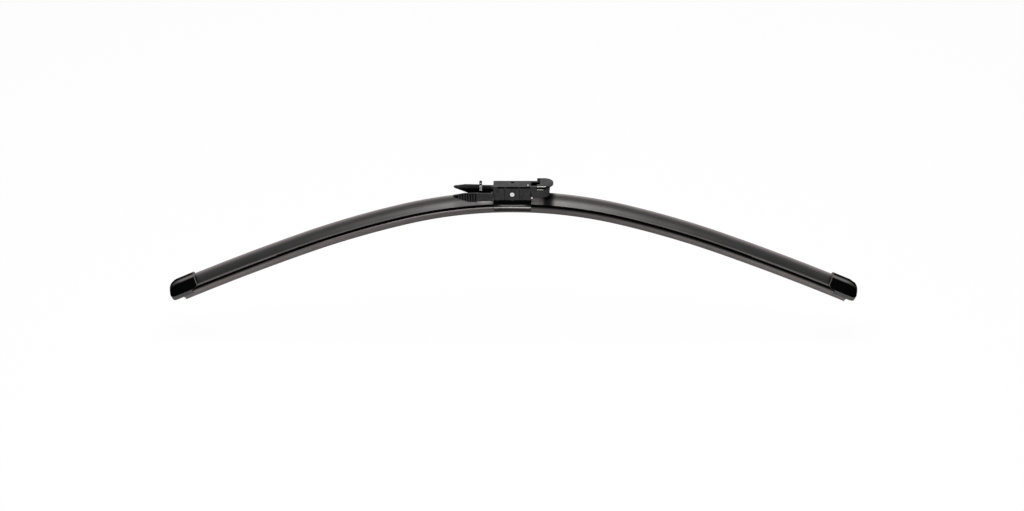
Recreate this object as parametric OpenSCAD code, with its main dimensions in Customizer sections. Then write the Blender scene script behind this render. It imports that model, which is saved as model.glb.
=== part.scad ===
// Flat wiper blade with its arm connector, in millimetres.
// X runs along the blade, Y from front (minus) to rear, Z away from the glass.
// The origin lies on the connector's flat top, straight above the pivot pin.

/* [Free curve] */
// Rubber from the pivot to its left end, along the lip
left_reach = 329.5; // [250:0.5:350]
// Rubber from the pivot to its right end, along the lip
right_reach = 331.5; // [250:0.5:350]
// Radius of the lip's edge over the middle
mid_radius = 397; // [340:1:600]
// Radius of the lip's edge over each flank
flank_radius = 841; // [600:1:1400]
// Radius of the lip's edge towards the tips
tip_radius = 2295; // [1500:5:5000]
// Length of the middle radius on each side
mid_span = 100; // [70:1:130]
// Length of the flank radius on each side
flank_span = 100; // [70:1:120]

/* [Rubber] */
// Width of the lip's wiping edge
lip_edge_w = 0.7; // [0.5:0.05:0.9]
// Width of the lip where it leaves the shoulders
lip_root_w = 1.0; // [0.9:0.05:1.4]
// Height of the lip
lip_h = 2.2; // [1.8:0.1:3]
// Width over the shoulders
shoulder_w = 5.2; // [4:0.1:6]
// Height of the shoulders
shoulder_h = 2.1; // [1.6:0.1:2.6]
// Thickness of the web on which the lip tips over
web_w = 1.0; // [0.8:0.05:1.3]
// Height of that web
web_h = 0.7; // [0.5:0.1:1.2]
// Width of the flange under the rails
flange_w = 5.4; // [4.4:0.1:6]
// Height of the flange under the rails
flange_h = 1.0; // [0.7:0.1:1.4]
// Width of the neck between the rails
neck_w = 2.2; // [1.6:0.1:2.6]
// Width of the crown above the rails
crown_w = 5.0; // [4:0.1:5.6]
// Height of the crown above the rails
crown_h = 1.1; // [0.8:0.1:1.4]

/* [Rails] */
// Width of each spring rail
rail_w = 4.0; // [3.4:0.1:4.4]
// Thickness of each spring rail
rail_t = 0.9; // [0.7:0.05:1.1]
// How far each rail stops short of the rubber's end
rail_inset = 1.5; // [1:0.1:4]

/* [Spoiler] */
// Wall of the claw outside and under each rail
claw_t = 0.7; // [0.5:0.05:1]
// Reach of the claw under each rail
claw_reach = 1.4; // [1:0.1:1.6]
// Height of the claw strip above the rails
claw_up = 1.8; // [1.5:0.1:2.2]
// Depth of the groove above the claw strip
groove_d = 1.5; // [0.8:0.1:2]
// Height of that groove
groove_h = 2.4; // [1.6:0.1:3]
// Width over the skirts above the groove
skirt_w = 13.6; // [12.4:0.1:14.2]
// Thickness of the skirt's edge
skirt_t = 0.5; // [0.3:0.1:0.8]
// Height of the ridge above the rails
ridge_up = 13.9; // [12:0.1:15]
// How far the ridge lies behind the middle
ridge_back = 1.5; // [0:0.1:2]
// Thickness of the ridge
ridge_t = 2.4; // [1.6:0.1:3]
// Radius of the hollow front face
front_hollow = 17; // [12:0.5:40]
// Radius of the hollow rear face
rear_hollow = 26; // [16:0.5:60]

/* [End caps] */
// Length of a cap
cap_len = 30.2; // [24:0.1:34]
// How far the left cap reaches past the rubber's end
left_cap_past = 10.7; // [9:0.1:14]
// How far the right cap reaches past the rubber's end
right_cap_past = 7.1; // [6:0.1:12]
// Wall of a cap round the spoiler
cap_wall = 1.2; // [0.9:0.1:1.6]
// How far a cap's top stands above the ridge
cap_rise = 2.2; // [1.6:0.1:3]
// Length of the rounded nose
nose_len = 12.4; // [8:0.1:14]
// Length of the diagonal cut at the mouth
cut_len = 7.8; // [4:0.1:9]

/* [Bracket] */
// Length of the steel bracket along the blade
bracket_len = 34.2; // [28:0.1:36]
// Thickness of its sheet
sheet_t = 1.2; // [0.9:0.1:1.4]
// Reach of its claws under the rails
crimp_reach = 1.6; // [1.2:0.1:1.8]
// Distance between the outer faces of its upright walls
cheek_w = 10.8; // [9.6:0.1:11.2]
// Radius of the round top of each wall
cheek_r = 4.6; // [4:0.1:5]
// Gap between the bracket's end and each spoiler
spoiler_gap = 0.05; // [0.03:0.01:0.3]

/* [Pivot] */
// Height of the pin's axis above the lip's edge
pin_up = 22.3; // [21.5:0.1:24]
// Diameter of the pin
pin_d = 5.2; // [4.6:0.1:6]
// Diameter of the pin between the bracket's walls
pin_mid_d = 6.8; // [6.4:0.1:7.4]

/* [Connector] */
// Left end of the connector body from the pin
body_left = 17.7; // [16:0.1:20]
// Left face of the head from the pin
body_right = 23.2; // [22:0.1:26]
// Width over the side walls
body_w = 16; // [15.4:0.1:17.4]
// Wall thickness
wall_t = 1.3; // [1:0.1:1.4]
// Height of the flat top above the pin
top_up = 7.2; // [6.8:0.1:8.4]
// Width of the raised top plate
plate_w = 13.9; // [12.5:0.1:14.4]
// Height of the top plate above its shoulders
plate_rise = 1.1; // [0.8:0.1:1.4]
// Depth of the side walls below the pin
wall_down = 5.7; // [5:0.1:6.2]
// Depth of the round boss below the pin
boss_r = 6.1; // [5.6:0.1:6.8]
// Width of the head's flange
head_w = 18; // [17:0.1:20]
// Thickness of the head's flange
head_t = 1.8; // [1.4:0.1:3]
// Nose of the flange from the pin
head_nose = 38.4; // [36:0.1:42]
// Height of the dark groove under the flange
head_groove_h = 2.3; // [1.5:0.1:2.8]
// Nose of the head's body from the pin
head_body_nose = 35.3; // [33:0.1:35.8]
// Depth of the head's walls below the pin
head_down = 3.0; // [2.4:0.1:4]
// Width of the slot for the arm's hook
hook_w = 7.8; // [6:0.1:9]
// Left end of the hook slot from the pin
hook_left = 17.4; // [16.8:0.1:19]
// Length of the hook's notch in the head
notch_len = 2.8; // [2:0.1:4]

/* [Release levers] */
// Tip of a lever from the pin
lever_tip = 55.6; // [50:0.1:60]
// Distance between the inner faces of the two levers
lever_gap = 15; // [14.8:0.1:16]
// Thickness of a lever
lever_t = 1.9; // [1.6:0.1:2.6]
// Top of a lever above the pin
lever_up = 1.5; // [1:0.1:2.5]
// Bottom of a lever below the pin
lever_down = 6; // [5.4:0.1:6.4]
// Right end of the ribbed pad from the pin
pad_right = 33.4; // [31:0.1:36]
// How far the pad stands out sideways
pad_rise = 0.5; // [0.4:0.1:0.8]
// Number of ribs on a pad
ribs = 8; // [5:1:10]
// Pitch of the ribs
rib_pitch = 2.4; // [2:0.05:2.5]
// Radius of the hinge bead at a lever's root
bead_r = 1.0; // [0.8:0.05:1.1]
// Height of the notched post on the rear lever above the pin
post_up = 6.4; // [5:0.1:8]
// Width of that post
post_w = 2.4; // [2:0.1:3]

/* [Fits] */
// Gap between a rail and what grips it
rail_gap = 0.1; // [0.05:0.01:0.15]
// Gap between a cap and what it slides over
cap_gap = 0.25; // [0.15:0.05:0.3]
// Radial play of the pin in the connector
pin_play = 0.05; // [0.03:0.01:0.08]
// Radial play of a lever's bead in its socket
bead_play = 0.05; // [0.03:0.01:0.08]
// Gap between a lever and the connector's end
lever_play = 0.3; // [0.2:0.05:0.5]
// Outward turn of the free levers, in degrees
lever_splay = 2; // [0:0.5:3]
// Gap round the ridge in the head's notch
notch_gap = 0.6; // [0.4:0.1:1]

/* [Hidden] */
$fn = 48;

// Heights above the lip's edge, from the glass upwards
shoulder_top = lip_h + shoulder_h;
flange_low = shoulder_top + web_h;
flange_top = flange_low + flange_h;
rail_low = flange_top + rail_gap;
rail_top = rail_low + rail_t;
crown_low = rail_top + rail_gap;
crown_top = crown_low + crown_h;
claw_low = rail_low - rail_gap - claw_t;
claw_top = rail_top + claw_up;
groove_top = claw_top + groove_h;
skirt_top = groove_top + 0.3 + skirt_t;
ridge_top = rail_top + ridge_up;

// Distances sideways from the middle
rail_in = neck_w / 2 + rail_gap;
rail_out = rail_in + rail_w;
claw_out = rail_out + rail_gap + claw_t;
groove_in = claw_out - groove_d;
crown_room = crown_w / 2 + 0.2;
cheek_out = cheek_w / 2;
cheek_in = cheek_out - sheet_t;
crimp_in = rail_out + rail_gap;
crimp_out = crimp_in + sheet_t;
body_half = body_w / 2;
body_in = body_half - wall_t;
lever_in = lever_gap / 2;
lever_out = lever_in + lever_t;

bracket_half = bracket_len / 2;
spoiler_start = bracket_half + spoiler_gap;
// The spoilers stop inside the caps, just short of the caps' lower clips
left_inset = cap_len - left_cap_past - cut_len + 1;
right_inset = cap_len - right_cap_past - cut_len + 1;
rail_color = "#8c8c90";
steel_color = "#3a3a3c";
rubber_color = "#5c5a58";
spoiler_color = "#4a4848";
cap_color = "#161617";
moulding_color = "#2a2a2b";
pin_color = "#c9c7c4";

// The blade's free curve

function degrees_of(length, radius) = length / radius * 180 / PI;
function span_part(s, from, to) = max(min(abs(s), to) - from, 0);
function bend_1(s) = degrees_of(span_part(s, 0, mid_span), mid_radius);
function bend_2(s) =
    bend_1(s) + degrees_of(span_part(s, mid_span, mid_span + flank_span), flank_radius);
function bend_3(s) =
    bend_2(s) + degrees_of(max(abs(s) - mid_span - flank_span, 0), tip_radius);

// Slope of the curve at the length s from the pivot, falling outwards
function slope_at(s) = sign(s) * bend_3(s);

// Point of the lip's edge at the length s, as [x, z] from the pin's axis
function lip_at(s) = let (a = bend_1(s), b = bend_2(s), c = bend_3(s)) [
    sign(s) * (mid_radius * sin(a) + flank_radius * (sin(b) - sin(a))
        + tip_radius * (sin(c) - sin(b))),
    mid_radius * (cos(a) - 1) + flank_radius * (cos(b) - cos(a))
        + tip_radius * (cos(c) - cos(b)) - pin_up
];

// Lengths at which the long pieces have a ring, for one half
half_rings = concat(
    [for (k = [1:8]) mid_span * k / 8],
    [for (k = [1:6]) mid_span + flank_span * k / 6],
    [for (k = [1:5]) mid_span + flank_span + 36 * k]
);
function rings_between(from, to) = concat(
    [from],
    [for (k = [len(half_rings) - 1:-1:0])
        if (-half_rings[k] > from + 2 && -half_rings[k] < to - 2) -half_rings[k]],
    [for (k = [0]) if (from < -2 && to > 2) k],
    [for (k = [0:len(half_rings) - 1])
        if (half_rings[k] > from + 2 && half_rings[k] < to - 2) half_rings[k]],
    [to]
);

// A section's point [height, forward] carried to the length s
function carried(p, s) = let (foot = lip_at(s), a = slope_at(s))
    [foot[0] + p[0] * sin(a), -p[1], foot[1] + p[0] * cos(a)];

// Triangles that fill an outline given anticlockwise, by cutting off its ears

function turn(a, b, c) = (b[0] - a[0]) * (c[1] - a[1]) - (b[1] - a[1]) * (c[0] - a[0]);
function within(p, a, b, c) =
    turn(a, b, p) >= -1e-9 && turn(b, c, p) >= -1e-9 && turn(c, a, p) >= -1e-9;
function is_ear(pts, a, b, c, left) = turn(pts[a], pts[b], pts[c]) > 1e-9
    && len([for (k = left)
        if (k != a && k != b && k != c && within(pts[k], pts[a], pts[b], pts[c])) k]) == 0;
function ear_index(pts, left, i = 0) = let (n = len(left))
    is_ear(pts, left[(i + n - 1) % n], left[i], left[(i + 1) % n], left) ? i
        : ear_index(pts, left, i + 1);
function ears(pts, left) = let (n = len(left)) n == 3 ? [left]
    : let (i = ear_index(pts, left))
        concat([[left[(i + n - 1) % n], left[i], left[(i + 1) % n]]],
            ears(pts, [for (k = [0:n - 1]) if (k != i) left[k]]));
function backwards(list) = [for (k = [len(list) - 1:-1:0]) list[k]];

// An outline, anticlockwise in [height, forward], swept along the blade
module bent(outline, from, to) {
    rings = rings_between(from, to);
    n = len(outline);
    last = (len(rings) - 1) * n;
    fill = ears(outline, [for (k = [0:n - 1]) k]);
    polyhedron(
        points = [for (s = rings) for (p = outline) carried(p, s)],
        faces = concat(
            fill,
            [for (t = fill) [t[2] + last, t[1] + last, t[0] + last]],
            [for (j = [0:len(rings) - 2]) for (k = [0:n - 1])
                let (a = j * n + k, b = j * n + (k + 1) % n) each [
                    [a, a + n, b + n],
                    [a, b + n, b]
                ]]
        )
    );
}

// Points on the round line from p to q, hollow to the right for a negative radius
function arc_points(p, q, radius, steps) = let (
    chord = norm(q - p),
    along = (q - p) / chord,
    mid = (p + q) / 2,
    centre = mid + [-along[1], along[0]] * sign(radius)
        * sqrt(radius * radius - chord * chord / 4),
    start = atan2(p[1] - centre[1], p[0] - centre[0]),
    sweep = sign(radius) * 2 * asin(chord / 2 / abs(radius))
) [for (k = [0:steps])
    centre + abs(radius) * [cos(start + sweep * k / steps), sin(start + sweep * k / steps)]];

// Sections of the long pieces, as [height, forward]

function mirrored(half) = concat([for (p = backwards(half)) [p[0], -p[1]]], half);

rubber_half = [
    [crown_top, crown_w / 2],
    [crown_low, crown_w / 2],
    [crown_low, neck_w / 2],
    [flange_top, neck_w / 2],
    [flange_top, flange_w / 2],
    [flange_low, flange_w / 2],
    [flange_low, web_w / 2],
    [shoulder_top, web_w / 2],
    [shoulder_top, shoulder_w / 2],
    [shoulder_top - shoulder_h / 3, shoulder_w / 2],
    [lip_h + shoulder_h / 5, lip_root_w],
    [lip_h, lip_root_w / 2],
    [0, lip_edge_w / 2]
];
rubber_outline = mirrored(rubber_half);

front_foot = [skirt_top, skirt_w / 2];
front_peak = [ridge_top - ridge_t / 2, ridge_t * 0.55 - ridge_back];
rear_peak = [ridge_top - ridge_t / 2, -ridge_t * 0.55 - ridge_back];
rear_foot = [skirt_top, -skirt_w / 2 + 0.3];
ridge_point = [ridge_top, -ridge_back];

// One foot of the spoiler, from the crown's pocket round the rail to the skirt
foot_half = [
    [crown_top + 0.2, crown_room],
    [crown_low, crown_room],
    [crown_low, rail_out + rail_gap],
    [rail_low - rail_gap, rail_out + rail_gap],
    [rail_low - rail_gap, claw_out - claw_reach - claw_t],
    [claw_low, claw_out - claw_reach - claw_t],
    [claw_low, claw_out - 0.4],
    [claw_low + 0.4, claw_out],
    [claw_top - 0.4, claw_out],
    [claw_top, claw_out - 0.4],
    [claw_top, groove_in],
    [groove_top, groove_in]
];
spoiler_front = concat(
    foot_half,
    [[groove_top + 0.3, skirt_w / 2]],
    arc_points(front_foot, front_peak, front_hollow, 7)
);
spoiler_rear = concat(
    arc_points(rear_peak, rear_foot, rear_hollow, 4),
    [[groove_top + 0.3, rear_foot[1]]],
    [for (p = backwards(foot_half)) [p[0], -p[1]]]
);
ridge_bend = [
    [ridge_top - ridge_t * 0.14, ridge_t * 0.36 - ridge_back],
    ridge_point,
    [ridge_top - ridge_t * 0.14, -ridge_t * 0.36 - ridge_back]
];
spoiler_outline = backwards(concat(spoiler_front, ridge_bend, spoiler_rear));

rail_outline = [
    [rail_low, rail_in],
    [rail_top, rail_in],
    [rail_top, rail_out],
    [rail_low, rail_out]
];
rear_rail_outline = [for (p = backwards(rail_outline)) [p[0], -p[1]]];

module from_seat() {
    translate([0, 0, -top_up]) children();
}

module wiper_rubber() {
    color(rubber_color) from_seat() bent(rubber_outline, -left_reach, right_reach);
}

module front_rail() {
    color(rail_color) from_seat()
        bent(rail_outline, rail_inset - left_reach, right_reach - rail_inset);
}

module rear_rail() {
    color(rail_color) from_seat()
        bent(rear_rail_outline, rail_inset - left_reach, right_reach - rail_inset);
}

module left_spoiler() {
    color(spoiler_color) from_seat()
        bent(spoiler_outline, left_inset - left_reach, -spoiler_start);
}

module right_spoiler() {
    color(spoiler_color) from_seat()
        bent(spoiler_outline, spoiler_start, right_reach - right_inset);
}

// End caps: in a cap's own frame the mouth is at x = 0 and the nose at cap_len

cap_top = ridge_top + cap_rise;
cap_side = skirt_w / 2 + cap_gap + cap_wall * 0.6;
cap_foot = groove_top - 0.5;
cap_clip_low = rail_low - rail_gap - cap_wall / 2;
cap_clip_out = rail_out + cap_gap + cap_wall * 0.7;
nose_h = groove_top + 0.2;

// Half sections [height, forward] of the cap's outside, above and below its side edge
function cap_upper(side, back) = [
    [groove_top, side],
    [groove_top + 4, side * 0.93],
    [groove_top + 7.4, side * 0.62],
    [cap_top - 1.3, side * 0.28 + back],
    [cap_top - 0.25, side * 0.1 + back]
];
cap_lower = [
    [cap_foot, cap_side],
    [rail_top, cap_clip_out],
    [cap_clip_low + 0.5, cap_clip_out],
    [cap_clip_low, cap_clip_out - 0.7]
];
cap_outline = concat(
    backwards(cap_lower),
    cap_upper(cap_side, -ridge_back * 0.5),
    [[cap_top, -ridge_back]],
    [for (p = backwards(cap_upper(cap_side, ridge_back * 0.9))) [p[0], -p[1]]],
    [for (p = cap_lower) [p[0], -p[1]]]
);

// How a slice at the length t from the mouth keeps its height and its width
function nose_round(t, start, length) =
    t <= start ? 1 : sqrt(max(1 - pow((t - start) / length, 2), 0));
function slice_top(t) =
    nose_h + (cap_top - nose_h) * nose_round(t, cap_len - nose_len, nose_len);
function slice_point(p, t) = let (
    up = p[0] <= groove_top ? p[0]
        : groove_top + (p[0] - groove_top) * (slice_top(t) - groove_top) / (cap_top - groove_top),
    low = max(up, cap_clip_low + 2 * (1 - nose_round(t, cap_len - 3, 3))),
    width = 0.45 + 0.55 * nose_round(t, cap_len - 7, 7)
) [t, -p[1] * width, low];

cap_slices = concat(
    [0, cap_len - nose_len],
    [for (k = [1:9]) cap_len - nose_len + nose_len * sin(k * 10)]
);

module cap_shell() {
    rows = [for (t = cap_slices) for (p = cap_outline) slice_point(p, t)];
    hull() polyhedron(points = rows, faces = [[for (k = [0:len(rows) - 1]) k]]);
}

// Room for the spoiler, the rails and the rubber
module cap_room(past) {
    deep = cap_len - past + 0.7;
    room_top = ridge_top + cap_gap;
    side = skirt_w / 2 + cap_gap;
    foot = groove_top + 0.3 - cap_gap;
    translate([-1, 0, 0])
    rotate([90, 0, 90])
    linear_extrude(1 + cut_len + 0.5)
    polygon([
        [-side, foot], [side, foot], [side, skirt_top + cap_gap],
        [cap_gap - rear_peak[1], rear_peak[0] + cap_gap],
        [ridge_back + ridge_t / 3, room_top], [ridge_back - ridge_t / 3, room_top],
        [-cap_gap - front_peak[1], front_peak[0] + cap_gap],
        [-side, skirt_top + cap_gap]
    ]);
    for (slot = [
        [rail_out + cap_gap, rail_low - cap_gap, foot + 0.5],
        [flange_w / 2 + cap_gap, -1, rail_top + crown_h + cap_gap + 0.2]
    ])
        translate([-1, -slot[0], slot[1]])
        cube([1 + deep, 2 * slot[0], slot[2] - slot[1]]);
}

// The lower corner of the mouth is cut away on a slant, down to the clip's start
module cap_cut() {
    rotate([90, 0, 0])
    linear_extrude(40, center = true)
    polygon([
        [-1, -1], [cut_len, -1], [cut_len, cap_foot - 1.2],
        [0, groove_top + 0.6], [-1, groove_top + 0.6]
    ]);
}

module end_cap(reach, past) {
    foot = lip_at(reach);
    color(cap_color) from_seat()
    translate([foot[0], 0, foot[1]])
    rotate([0, slope_at(reach), 0])
    translate([past - cap_len, 0, 0])
    difference() {
        cap_shell();
        cap_room(past);
        cap_cut();
    }
}

module right_end_cap() {
    end_cap(right_reach, right_cap_past);
}

module left_end_cap() {
    mirror([1, 0, 0]) end_cap(left_reach, left_cap_past);
}

// Pivot pin, turned in one piece, with a thicker middle between the bracket's walls

module pivot_pin() {
    end = body_half + 0.15;
    r = pin_d / 2;
    color(pin_color) from_seat()
    rotate([90, 0, 0])
    rotate_extrude()
    polygon([
        [0, -end], [r - 0.5, -end], [r, -end + 0.3],
        [r, -cheek_in + rail_gap], [pin_mid_d / 2, -cheek_in + rail_gap],
        [pin_mid_d / 2, cheek_in - rail_gap], [r, cheek_in - rail_gap],
        [r, end - 0.3], [r - 0.5, end], [0, end]
    ]);
}

// Centre bracket: one folded steel sheet that grips both rails and carries the pin

module mid_arc(low, high, inner, outer) {
    half = degrees_of(bracket_half, mid_radius);
    translate([0, 0, -pin_up - mid_radius])
    rotate([90, 0, 0])
    rotate([0, 0, 90 - half])
    rotate_extrude(angle = 2 * half, $fn = 720)
    translate([mid_radius + low, inner])
    square([high - low, outer - inner]);
}

// A point of the bracket's left or right end at the height h, as [x, z]
function bracket_end(side, h) = let (p = carried([h, 0], side * bracket_half)) [p[0], p[2]];

module bracket_side() {
    wall_end = pin_up - wall_down - 0.7;
    shelf_low = crown_low;
    shelf_top = shelf_low + sheet_t;
    bed = crown_top + rail_gap;
    crimp_low = rail_low - rail_gap - sheet_t;
    mid_arc(shelf_low, shelf_top, crown_room, crimp_out);
    mid_arc(crimp_low, shelf_top, crimp_in, crimp_out);
    mid_arc(crimp_low, crimp_low + sheet_t, crimp_out - sheet_t - crimp_reach, crimp_out);
    mid_arc(shelf_low, bed + sheet_t, crown_room, crown_room + sheet_t);
    mid_arc(bed, bed + sheet_t, -0.01, cheek_out);
    difference() {
        translate([0, -cheek_in, 0])
        rotate([90, 0, 0])
        linear_extrude(sheet_t)
        difference() {
            union() {
                circle(cheek_r);
                polygon([
                    bracket_end(-1, bed), bracket_end(1, bed),
                    bracket_end(1, wall_end), [cheek_r + 3.4, -wall_down + 0.9],
                    [cheek_r * 0.96, -cheek_r * 0.28], [-cheek_r * 0.96, -cheek_r * 0.28],
                    [-cheek_r - 3.4, -wall_down + 0.9], bracket_end(-1, wall_end)
                ]);
            }
            circle(pin_d / 2 + 0.02);
        }
        translate([0, 0, -pin_up - mid_radius])
        rotate([90, 0, 0])
        cylinder(r = mid_radius + bed + sheet_t / 2, h = body_w, $fn = 720);
        bracket_window();
    }
}

// Shallow lens-shaped pressing low in each wall
module bracket_window() {
    depth = 0.35;
    lens_r = 44;
    lens_up = crown_top + sheet_t + 2.4 - pin_up;
    translate([0, -cheek_out + depth, 0])
    rotate([90, 0, 0])
    linear_extrude(2)
    intersection() {
        translate([0, lens_up - lens_r + 1.1]) circle(lens_r, $fn = 240);
        translate([0, lens_up + lens_r - 1.1]) circle(lens_r, $fn = 240);
    }
}

module centre_bracket() {
    color(steel_color) from_seat() {
        bracket_side();
        mirror([0, 1, 0]) bracket_side();
    }
}

// Connector body: a moulded cover that snaps over the pin, with the arm's head stop

shoulder_up = top_up - plate_rise;
roof_low = shoulder_up - 0.5;
bead_x = body_left - 2.2;
bead_y = body_in - 1.1;
bead_up = lever_up;
bead_down = lever_up - 4;
slot_down = 0.3;
slot_deep = 0.9;
plate_skin = 0.3;
panel_left = 7.0;
panel_right = 6.7;
wall_step = 17;
step_gap = 0.8;
step_deep = 0.8;
step_down = 4.2;
tilt_max = 7;
tilt_rise = head_body_nose * sin(tilt_max) - pow(head_body_nose, 2) / 2 / mid_radius;

module body_section() {
    polygon([
        [-body_half, -wall_down], [-body_half, shoulder_up - 0.3],
        [-body_half + 0.3, shoulder_up], [-plate_w / 2, shoulder_up],
        [-plate_w / 2, top_up - 0.25], [-plate_w / 2 + 0.25, top_up],
        [plate_w / 2 - 0.25, top_up], [plate_w / 2, top_up - 0.25],
        [plate_w / 2, shoulder_up], [body_half - 0.3, shoulder_up],
        [body_half, shoulder_up - 0.3], [body_half, -wall_down],
        [body_in, -wall_down], [body_in, roof_low - 0.8], [body_in - 0.8, roof_low],
        [-body_in + 0.8, roof_low], [-body_in, roof_low - 0.8], [-body_in, -wall_down]
    ]);
}

// Plan of the head at a given half width, round at the nose
module head_plan(half, nose) {
    intersection() {
        union() {
            translate([body_right, -half]) square([nose - half - body_right, 2 * half]);
            translate([nose - half, 0]) circle(half, $fn = 96);
        }
        translate([body_right, -half]) square([nose, 2 * half]);
    }
}

module head() {
    translate([0, 0, top_up]) linear_extrude(head_t) head_plan(head_w / 2, head_nose);
    translate([0, 0, top_up - head_groove_h - 0.01])
        linear_extrude(head_groove_h + 0.02)
        head_plan(body_half - 0.6, head_body_nose - 0.6);
    difference() {
        translate([0, 0, -wall_down])
            linear_extrude(top_up - head_groove_h + wall_down)
            head_plan(body_half, head_body_nose);
        translate([0, 0, -wall_down - 1]) linear_extrude(1 + wall_down + roof_low) {
            head_plan(body_in, head_body_nose - wall_t);
            translate([body_right - 1, -body_in]) square([2, 2 * body_in]);
        }
        ridge_notch();
    }
}

// Notch under the nose that lets the spoiler's ridge rise when the blade tilts
module ridge_notch() {
    high = tilt_rise + ridge_top - pin_up + notch_gap;
    front = ridge_back - ridge_t - notch_gap * 2;
    rear = ridge_back + ridge_t + notch_gap;
    translate([head_body_nose - 2 * wall_t - 1, front, -wall_down - 1])
        cube([2 * wall_t + 2, rear - front, high + wall_down + 1]);
}

// Rise of the walls' lower edge from the wall's step to the nose
module lower_cut() {
    rotate([90, 0, 0])
    linear_extrude(2 * head_w, center = true)
    polygon([
        [wall_step + 0.9, -wall_down - 2], [wall_step + 0.9, -step_down],
        [body_right, -step_down + 0.3], [body_right + 5.8, -head_down],
        [head_nose, -head_down], [head_nose, -wall_down - 2]
    ]);
}

// Hanging post with the round socket for one lever's bead
module socket_post(side) {
    translate([-bead_x, side * bead_y, 0])
    difference() {
        translate([-bead_r - 0.8, -bead_r - 0.7, bead_down])
            cube([2 * bead_r + 2, 2 * bead_r + 1.4, roof_low - bead_down + 0.3]);
        translate([0, 0, bead_down - 1])
            cylinder(r = bead_r + bead_play, h = bead_up - bead_down + 1 + lever_play);
        translate([-10, -bead_r * 0.75, bead_down - 1])
            cube([10, bead_r * 1.5, bead_up - bead_down + 1 + lever_play]);
    }
}

// Long narrow slots under the top plate's edges, through to the inside
module plate_slots(side) {
    inner = plate_w / 2 - slot_deep;
    for (run = [[-14.0, -7.2], [-6.0, 6.0], [7.2, 16.8]])
        translate([run[0], side > 0 ? inner : -body_half - 0.1, shoulder_up - slot_down])
        cube([run[1] - run[0], body_half + 0.1 - inner, slot_down + plate_rise - plate_skin]);
}

module wall_details(side) {
    for (x = [-panel_left, panel_right])
        translate([x - 0.2, side * body_half - 0.3, -wall_down - 1])
        cube([0.4, 0.6, wall_down + shoulder_up + 2]);
    translate([wall_step, side * body_half - 0.25, -wall_down - 1])
        cube([body_right - wall_step, 0.5, wall_down + shoulder_up + 2]);
    translate([wall_step, side * body_half - step_deep, -head_down])
        cube([step_gap, 2 * step_deep, 2 * head_down]);
}

// Round boss that hangs below each side wall, under the pin
module wall_boss(side) {
    translate([0, side * (body_half - wall_t / 2), 0])
    rotate([90, 0, 0])
    linear_extrude(wall_t, center = true)
    intersection() {
        circle(boss_r, $fn = 96);
        translate([-boss_r, -boss_r - 3]) square([2 * boss_r, boss_r]);
    }
}

module hook_slot() {
    low = roof_low - 1;
    high = 2 + head_t + top_up - low;
    translate([0, 0, low]) linear_extrude(high) {
        translate([hook_left + 1.6, -hook_w / 2])
            square([body_right + notch_len - hook_left - 1.6, hook_w]);
        for (side = [-1, 1])
            translate([hook_left + 1.6, side * (hook_w / 2 - 1.6)]) circle(1.6);
        translate([hook_left, 1.6 - hook_w / 2]) square([2, hook_w - 3.2]);
    }
    translate([body_right - 1, -hook_w / 2 - 0.8, top_up])
        cube([1 + notch_len, hook_w + 4, head_t + 1]);
}

module connector_body() {
    color(moulding_color) from_seat()
    difference() {
        union() {
            difference() {
                translate([-body_left, 0, 0])
                    rotate([90, 0, 90])
                    linear_extrude(body_left + body_right)
                    body_section();
                for (side = [-1, 1]) {
                    wall_details(side);
                    plate_slots(side);
                }
            }
            translate([-body_left, -body_in, bead_up + 0.6])
                cube([wall_t, 2 * body_in, roof_low - bead_up - 0.4]);
            for (side = [-1, 1]) {
                wall_boss(side);
                socket_post(side);
            }
            head();
        }
        rotate([90, 0, 0])
            cylinder(r = pin_d / 2 + pin_play, h = 2 * body_w, center = true, $fn = 96);
        for (side = [-1, 1])
            translate([0, side * body_half, 0])
            rotate([90, 0, 0])
            cylinder(r = pin_d / 2 + 0.5, h = 0.5, center = true, $fn = 96);
        hook_slot();
        lower_cut();
        translate([-1.2, 1.8, roof_low - 1]) cube([2.9, 2.5, 4]);
    }
}

// Release levers, each on its own bead in the connector's left end

pad_left = lever_tip - 1;
lever_root = body_left + lever_play;
post_x = 29.9;

module lever_side() {
    polygon([
        [-lever_root, lever_up], [-pad_right + 3.6, lever_up],
        [-pad_right + 3.4, lever_up + 0.5], [-44.5, lever_up + 0.6],
        [-pad_left, 0.4], [-lever_tip, -0.3], [-pad_left, -1.3],
        [-40.6, -lever_down - 0.7], [-pad_right, -lever_down - 0.7],
        [-pad_right + 0.4, -lever_down], [-lever_root, -lever_down]
    ]);
}

module lever_blank() {
    translate([0, -lever_in, 0])
        rotate([90, 0, 0])
        linear_extrude(lever_t)
        lever_side();
    translate([0, -lever_in - lever_t + 0.01, 0])
        rotate([90, 0, 0])
        linear_extrude(pad_rise)
        intersection() {
            lever_side();
            translate([-lever_tip, -2 * lever_down])
                square([lever_tip - pad_right, 2 * lever_down + lever_up - 0.3]);
        }
}

// Root of a lever: a jog past the wall's end, a finger and the round bead
module lever_root_part() {
    high = bead_up - bead_down;
    finger = bead_r * 1.1;
    translate([-lever_root - 1.8, -lever_out, bead_down])
        cube([1.8, lever_out - bead_y + finger / 2, high]);
    translate([-lever_root - 1, -bead_y - finger / 2, bead_down])
        cube([lever_root + 1 - bead_x, finger, high]);
    translate([-bead_x, -bead_y, bead_down]) cylinder(r = bead_r, h = high);
}

module release_lever() {
    difference() {
        union() {
            lever_blank();
            lever_root_part();
        }
        for (k = [0:ribs - 1])
            translate([-pad_right - 1.5 - k * rib_pitch, -lever_out - pad_rise - 0.1, -10])
            cube([rib_pitch * 0.45, pad_rise + 0.1, 20]);
    }
}

// Turns a lever on the front bead's axis, outwards at its tip
module splayed() {
    translate([-bead_x, -bead_y, 0])
        rotate([0, 0, lever_splay])
        translate([bead_x, bead_y, 0])
        children();
}

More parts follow.
